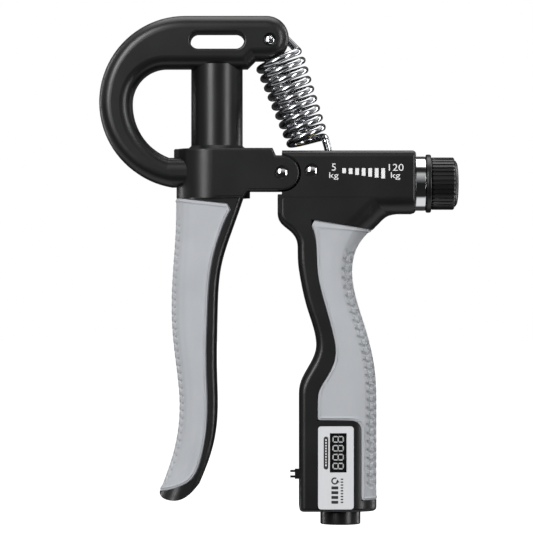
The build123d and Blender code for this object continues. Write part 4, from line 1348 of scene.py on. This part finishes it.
@dataclass
class Studio:
    """Camera, pale floor and soft light."""

    distance: float = 1.1
    seen_width: float = 0.17385
    centre: Point = (-0.02304, 0.01078)
    sensor: float = 36.0
    floor_drop: float = 0.075
    floor_half: float = 6.0
    paper_light: float = 0.10

    def build(self) -> None:
        """Build the whole setting."""
        self._camera()
        self._floor()
        self._world()
        for lamp in (
                SoftBox("key", (-0.50, -0.85, 0.42), (0.30, 0.8), 10.0),
                SoftBox("fill", (0.72, -0.70, 0.10), (0.22, 0.8), 5.4),
                SoftBox("top", (0.0, 0.15, 0.85), (0.8, 0.7), 4.0),
                SoftBox("rim_right", (0.60, 0.35, 0.1), (0.10, 0.8), 2.0),
                SoftBox("rim_left", (-0.65, 0.30, 0.1), (0.10, 0.8), 1.6)):
            lamp.build()

    def _camera(self) -> None:
        """Place the camera square to the front face."""
        data = bpy.data.cameras.new("camera")
        data.sensor_width = self.sensor
        data.lens = self.sensor * self.distance / self.seen_width
        data.clip_end = 20.0
        camera = bpy.data.objects.new("camera", data)
        camera.location = (self.centre[0], -self.distance, self.centre[1])
        aim_at(camera, (self.centre[0], 0.0, self.centre[1]))
        bpy.context.scene.collection.objects.link(camera)
        bpy.context.scene.camera = camera

    def _floor(self) -> None:
        """Lay a wide pale floor under the object."""
        bottom = float(CAD_BOX[0][2]) - self.floor_drop
        half = self.floor_half
        mesh = bpy.data.meshes.new("floor")
        mesh.from_pydata([(-half, -half, bottom), (half, -half, bottom), (half, half, bottom),
                          (-half, half, bottom)], [], [(0, 1, 2, 3)])
        floor = bpy.data.objects.new("floor", mesh)
        paper = Shader("floor_paper", Roughness=0.9, Specular_IOR_Level=0.1, Emission_Strength=1.0,
                       Base_Color=(0.92, 0.92, 0.92, 1.0), Emission_Color=(1.0, 1.0, 1.0, 1.0))
        mesh.materials.append(paper.material)
        floor.visible_glossy = False
        floor.visible_diffuse = False
        bpy.context.scene.collection.objects.link(floor)

    def _world(self) -> None:
        """Surround the scene with white paper, and give the plating a banded studio to mirror.

        Shiny faces see bands by height: the angle atan2(z, -y) runs from straight below, past the
        camera's side, to overhead.
        """
        world = bpy.data.worlds.new("paper")
        world.use_nodes = True
        nodes = Nodes(world.node_tree)
        place = nodes.node("ShaderNodeTexCoord", output="Generated")
        height, depth = (nodes.node("ShaderNodeSeparateXYZ", {}, {"Vector": place}, axis)
                         for axis in "ZY")
        angle = nodes.node("ShaderNodeMath", {"operation": "ARCTAN2"}, [height, depth * -1.0])
        turn = nodes.node("ShaderNodeMapRange", {},
                          {"Value": angle, "From Min": -np.pi, "From Max": np.pi})
        bands = nodes.ramp(turn, GLOSSY_BANDS)
        glossy, camera = (nodes.node("ShaderNodeLightPath", output=ray)
                          for ray in ("Is Glossy Ray", "Is Camera Ray"))
        strength = nodes.node("ShaderNodeMix", {},
                              {"Factor": glossy, "A": self.paper_light, "B": bands}, "Result")
        strength = nodes.node("ShaderNodeMix", {},
                              {"Factor": camera, "A": strength, "B": 1.0}, "Result")
        background = nodes.tree.nodes["Background"]
        background.inputs["Color"].default_value = (1.0, 1.0, 1.0, 1.0)
        nodes.tree.links.new(strength.socket, background.inputs["Strength"])
        bpy.context.scene.world = world
        bpy.context.scene.view_settings.view_transform = "Standard"


def main() -> None:
    """Build every piece and the studio, in order."""
    Studio().build()
    dress_frame()
    palm_sleeve().build()
    finger_sleeve().build()
    TensionSpring().build()
    KnobEnd().build()
    PinScrew().build()
    BarrelScale().build()
    CounterFace().build()
    ResetButton().build()
    close_springs()


if __name__ == "__main__":
    logging.basicConfig(level=logging.INFO)
    main()
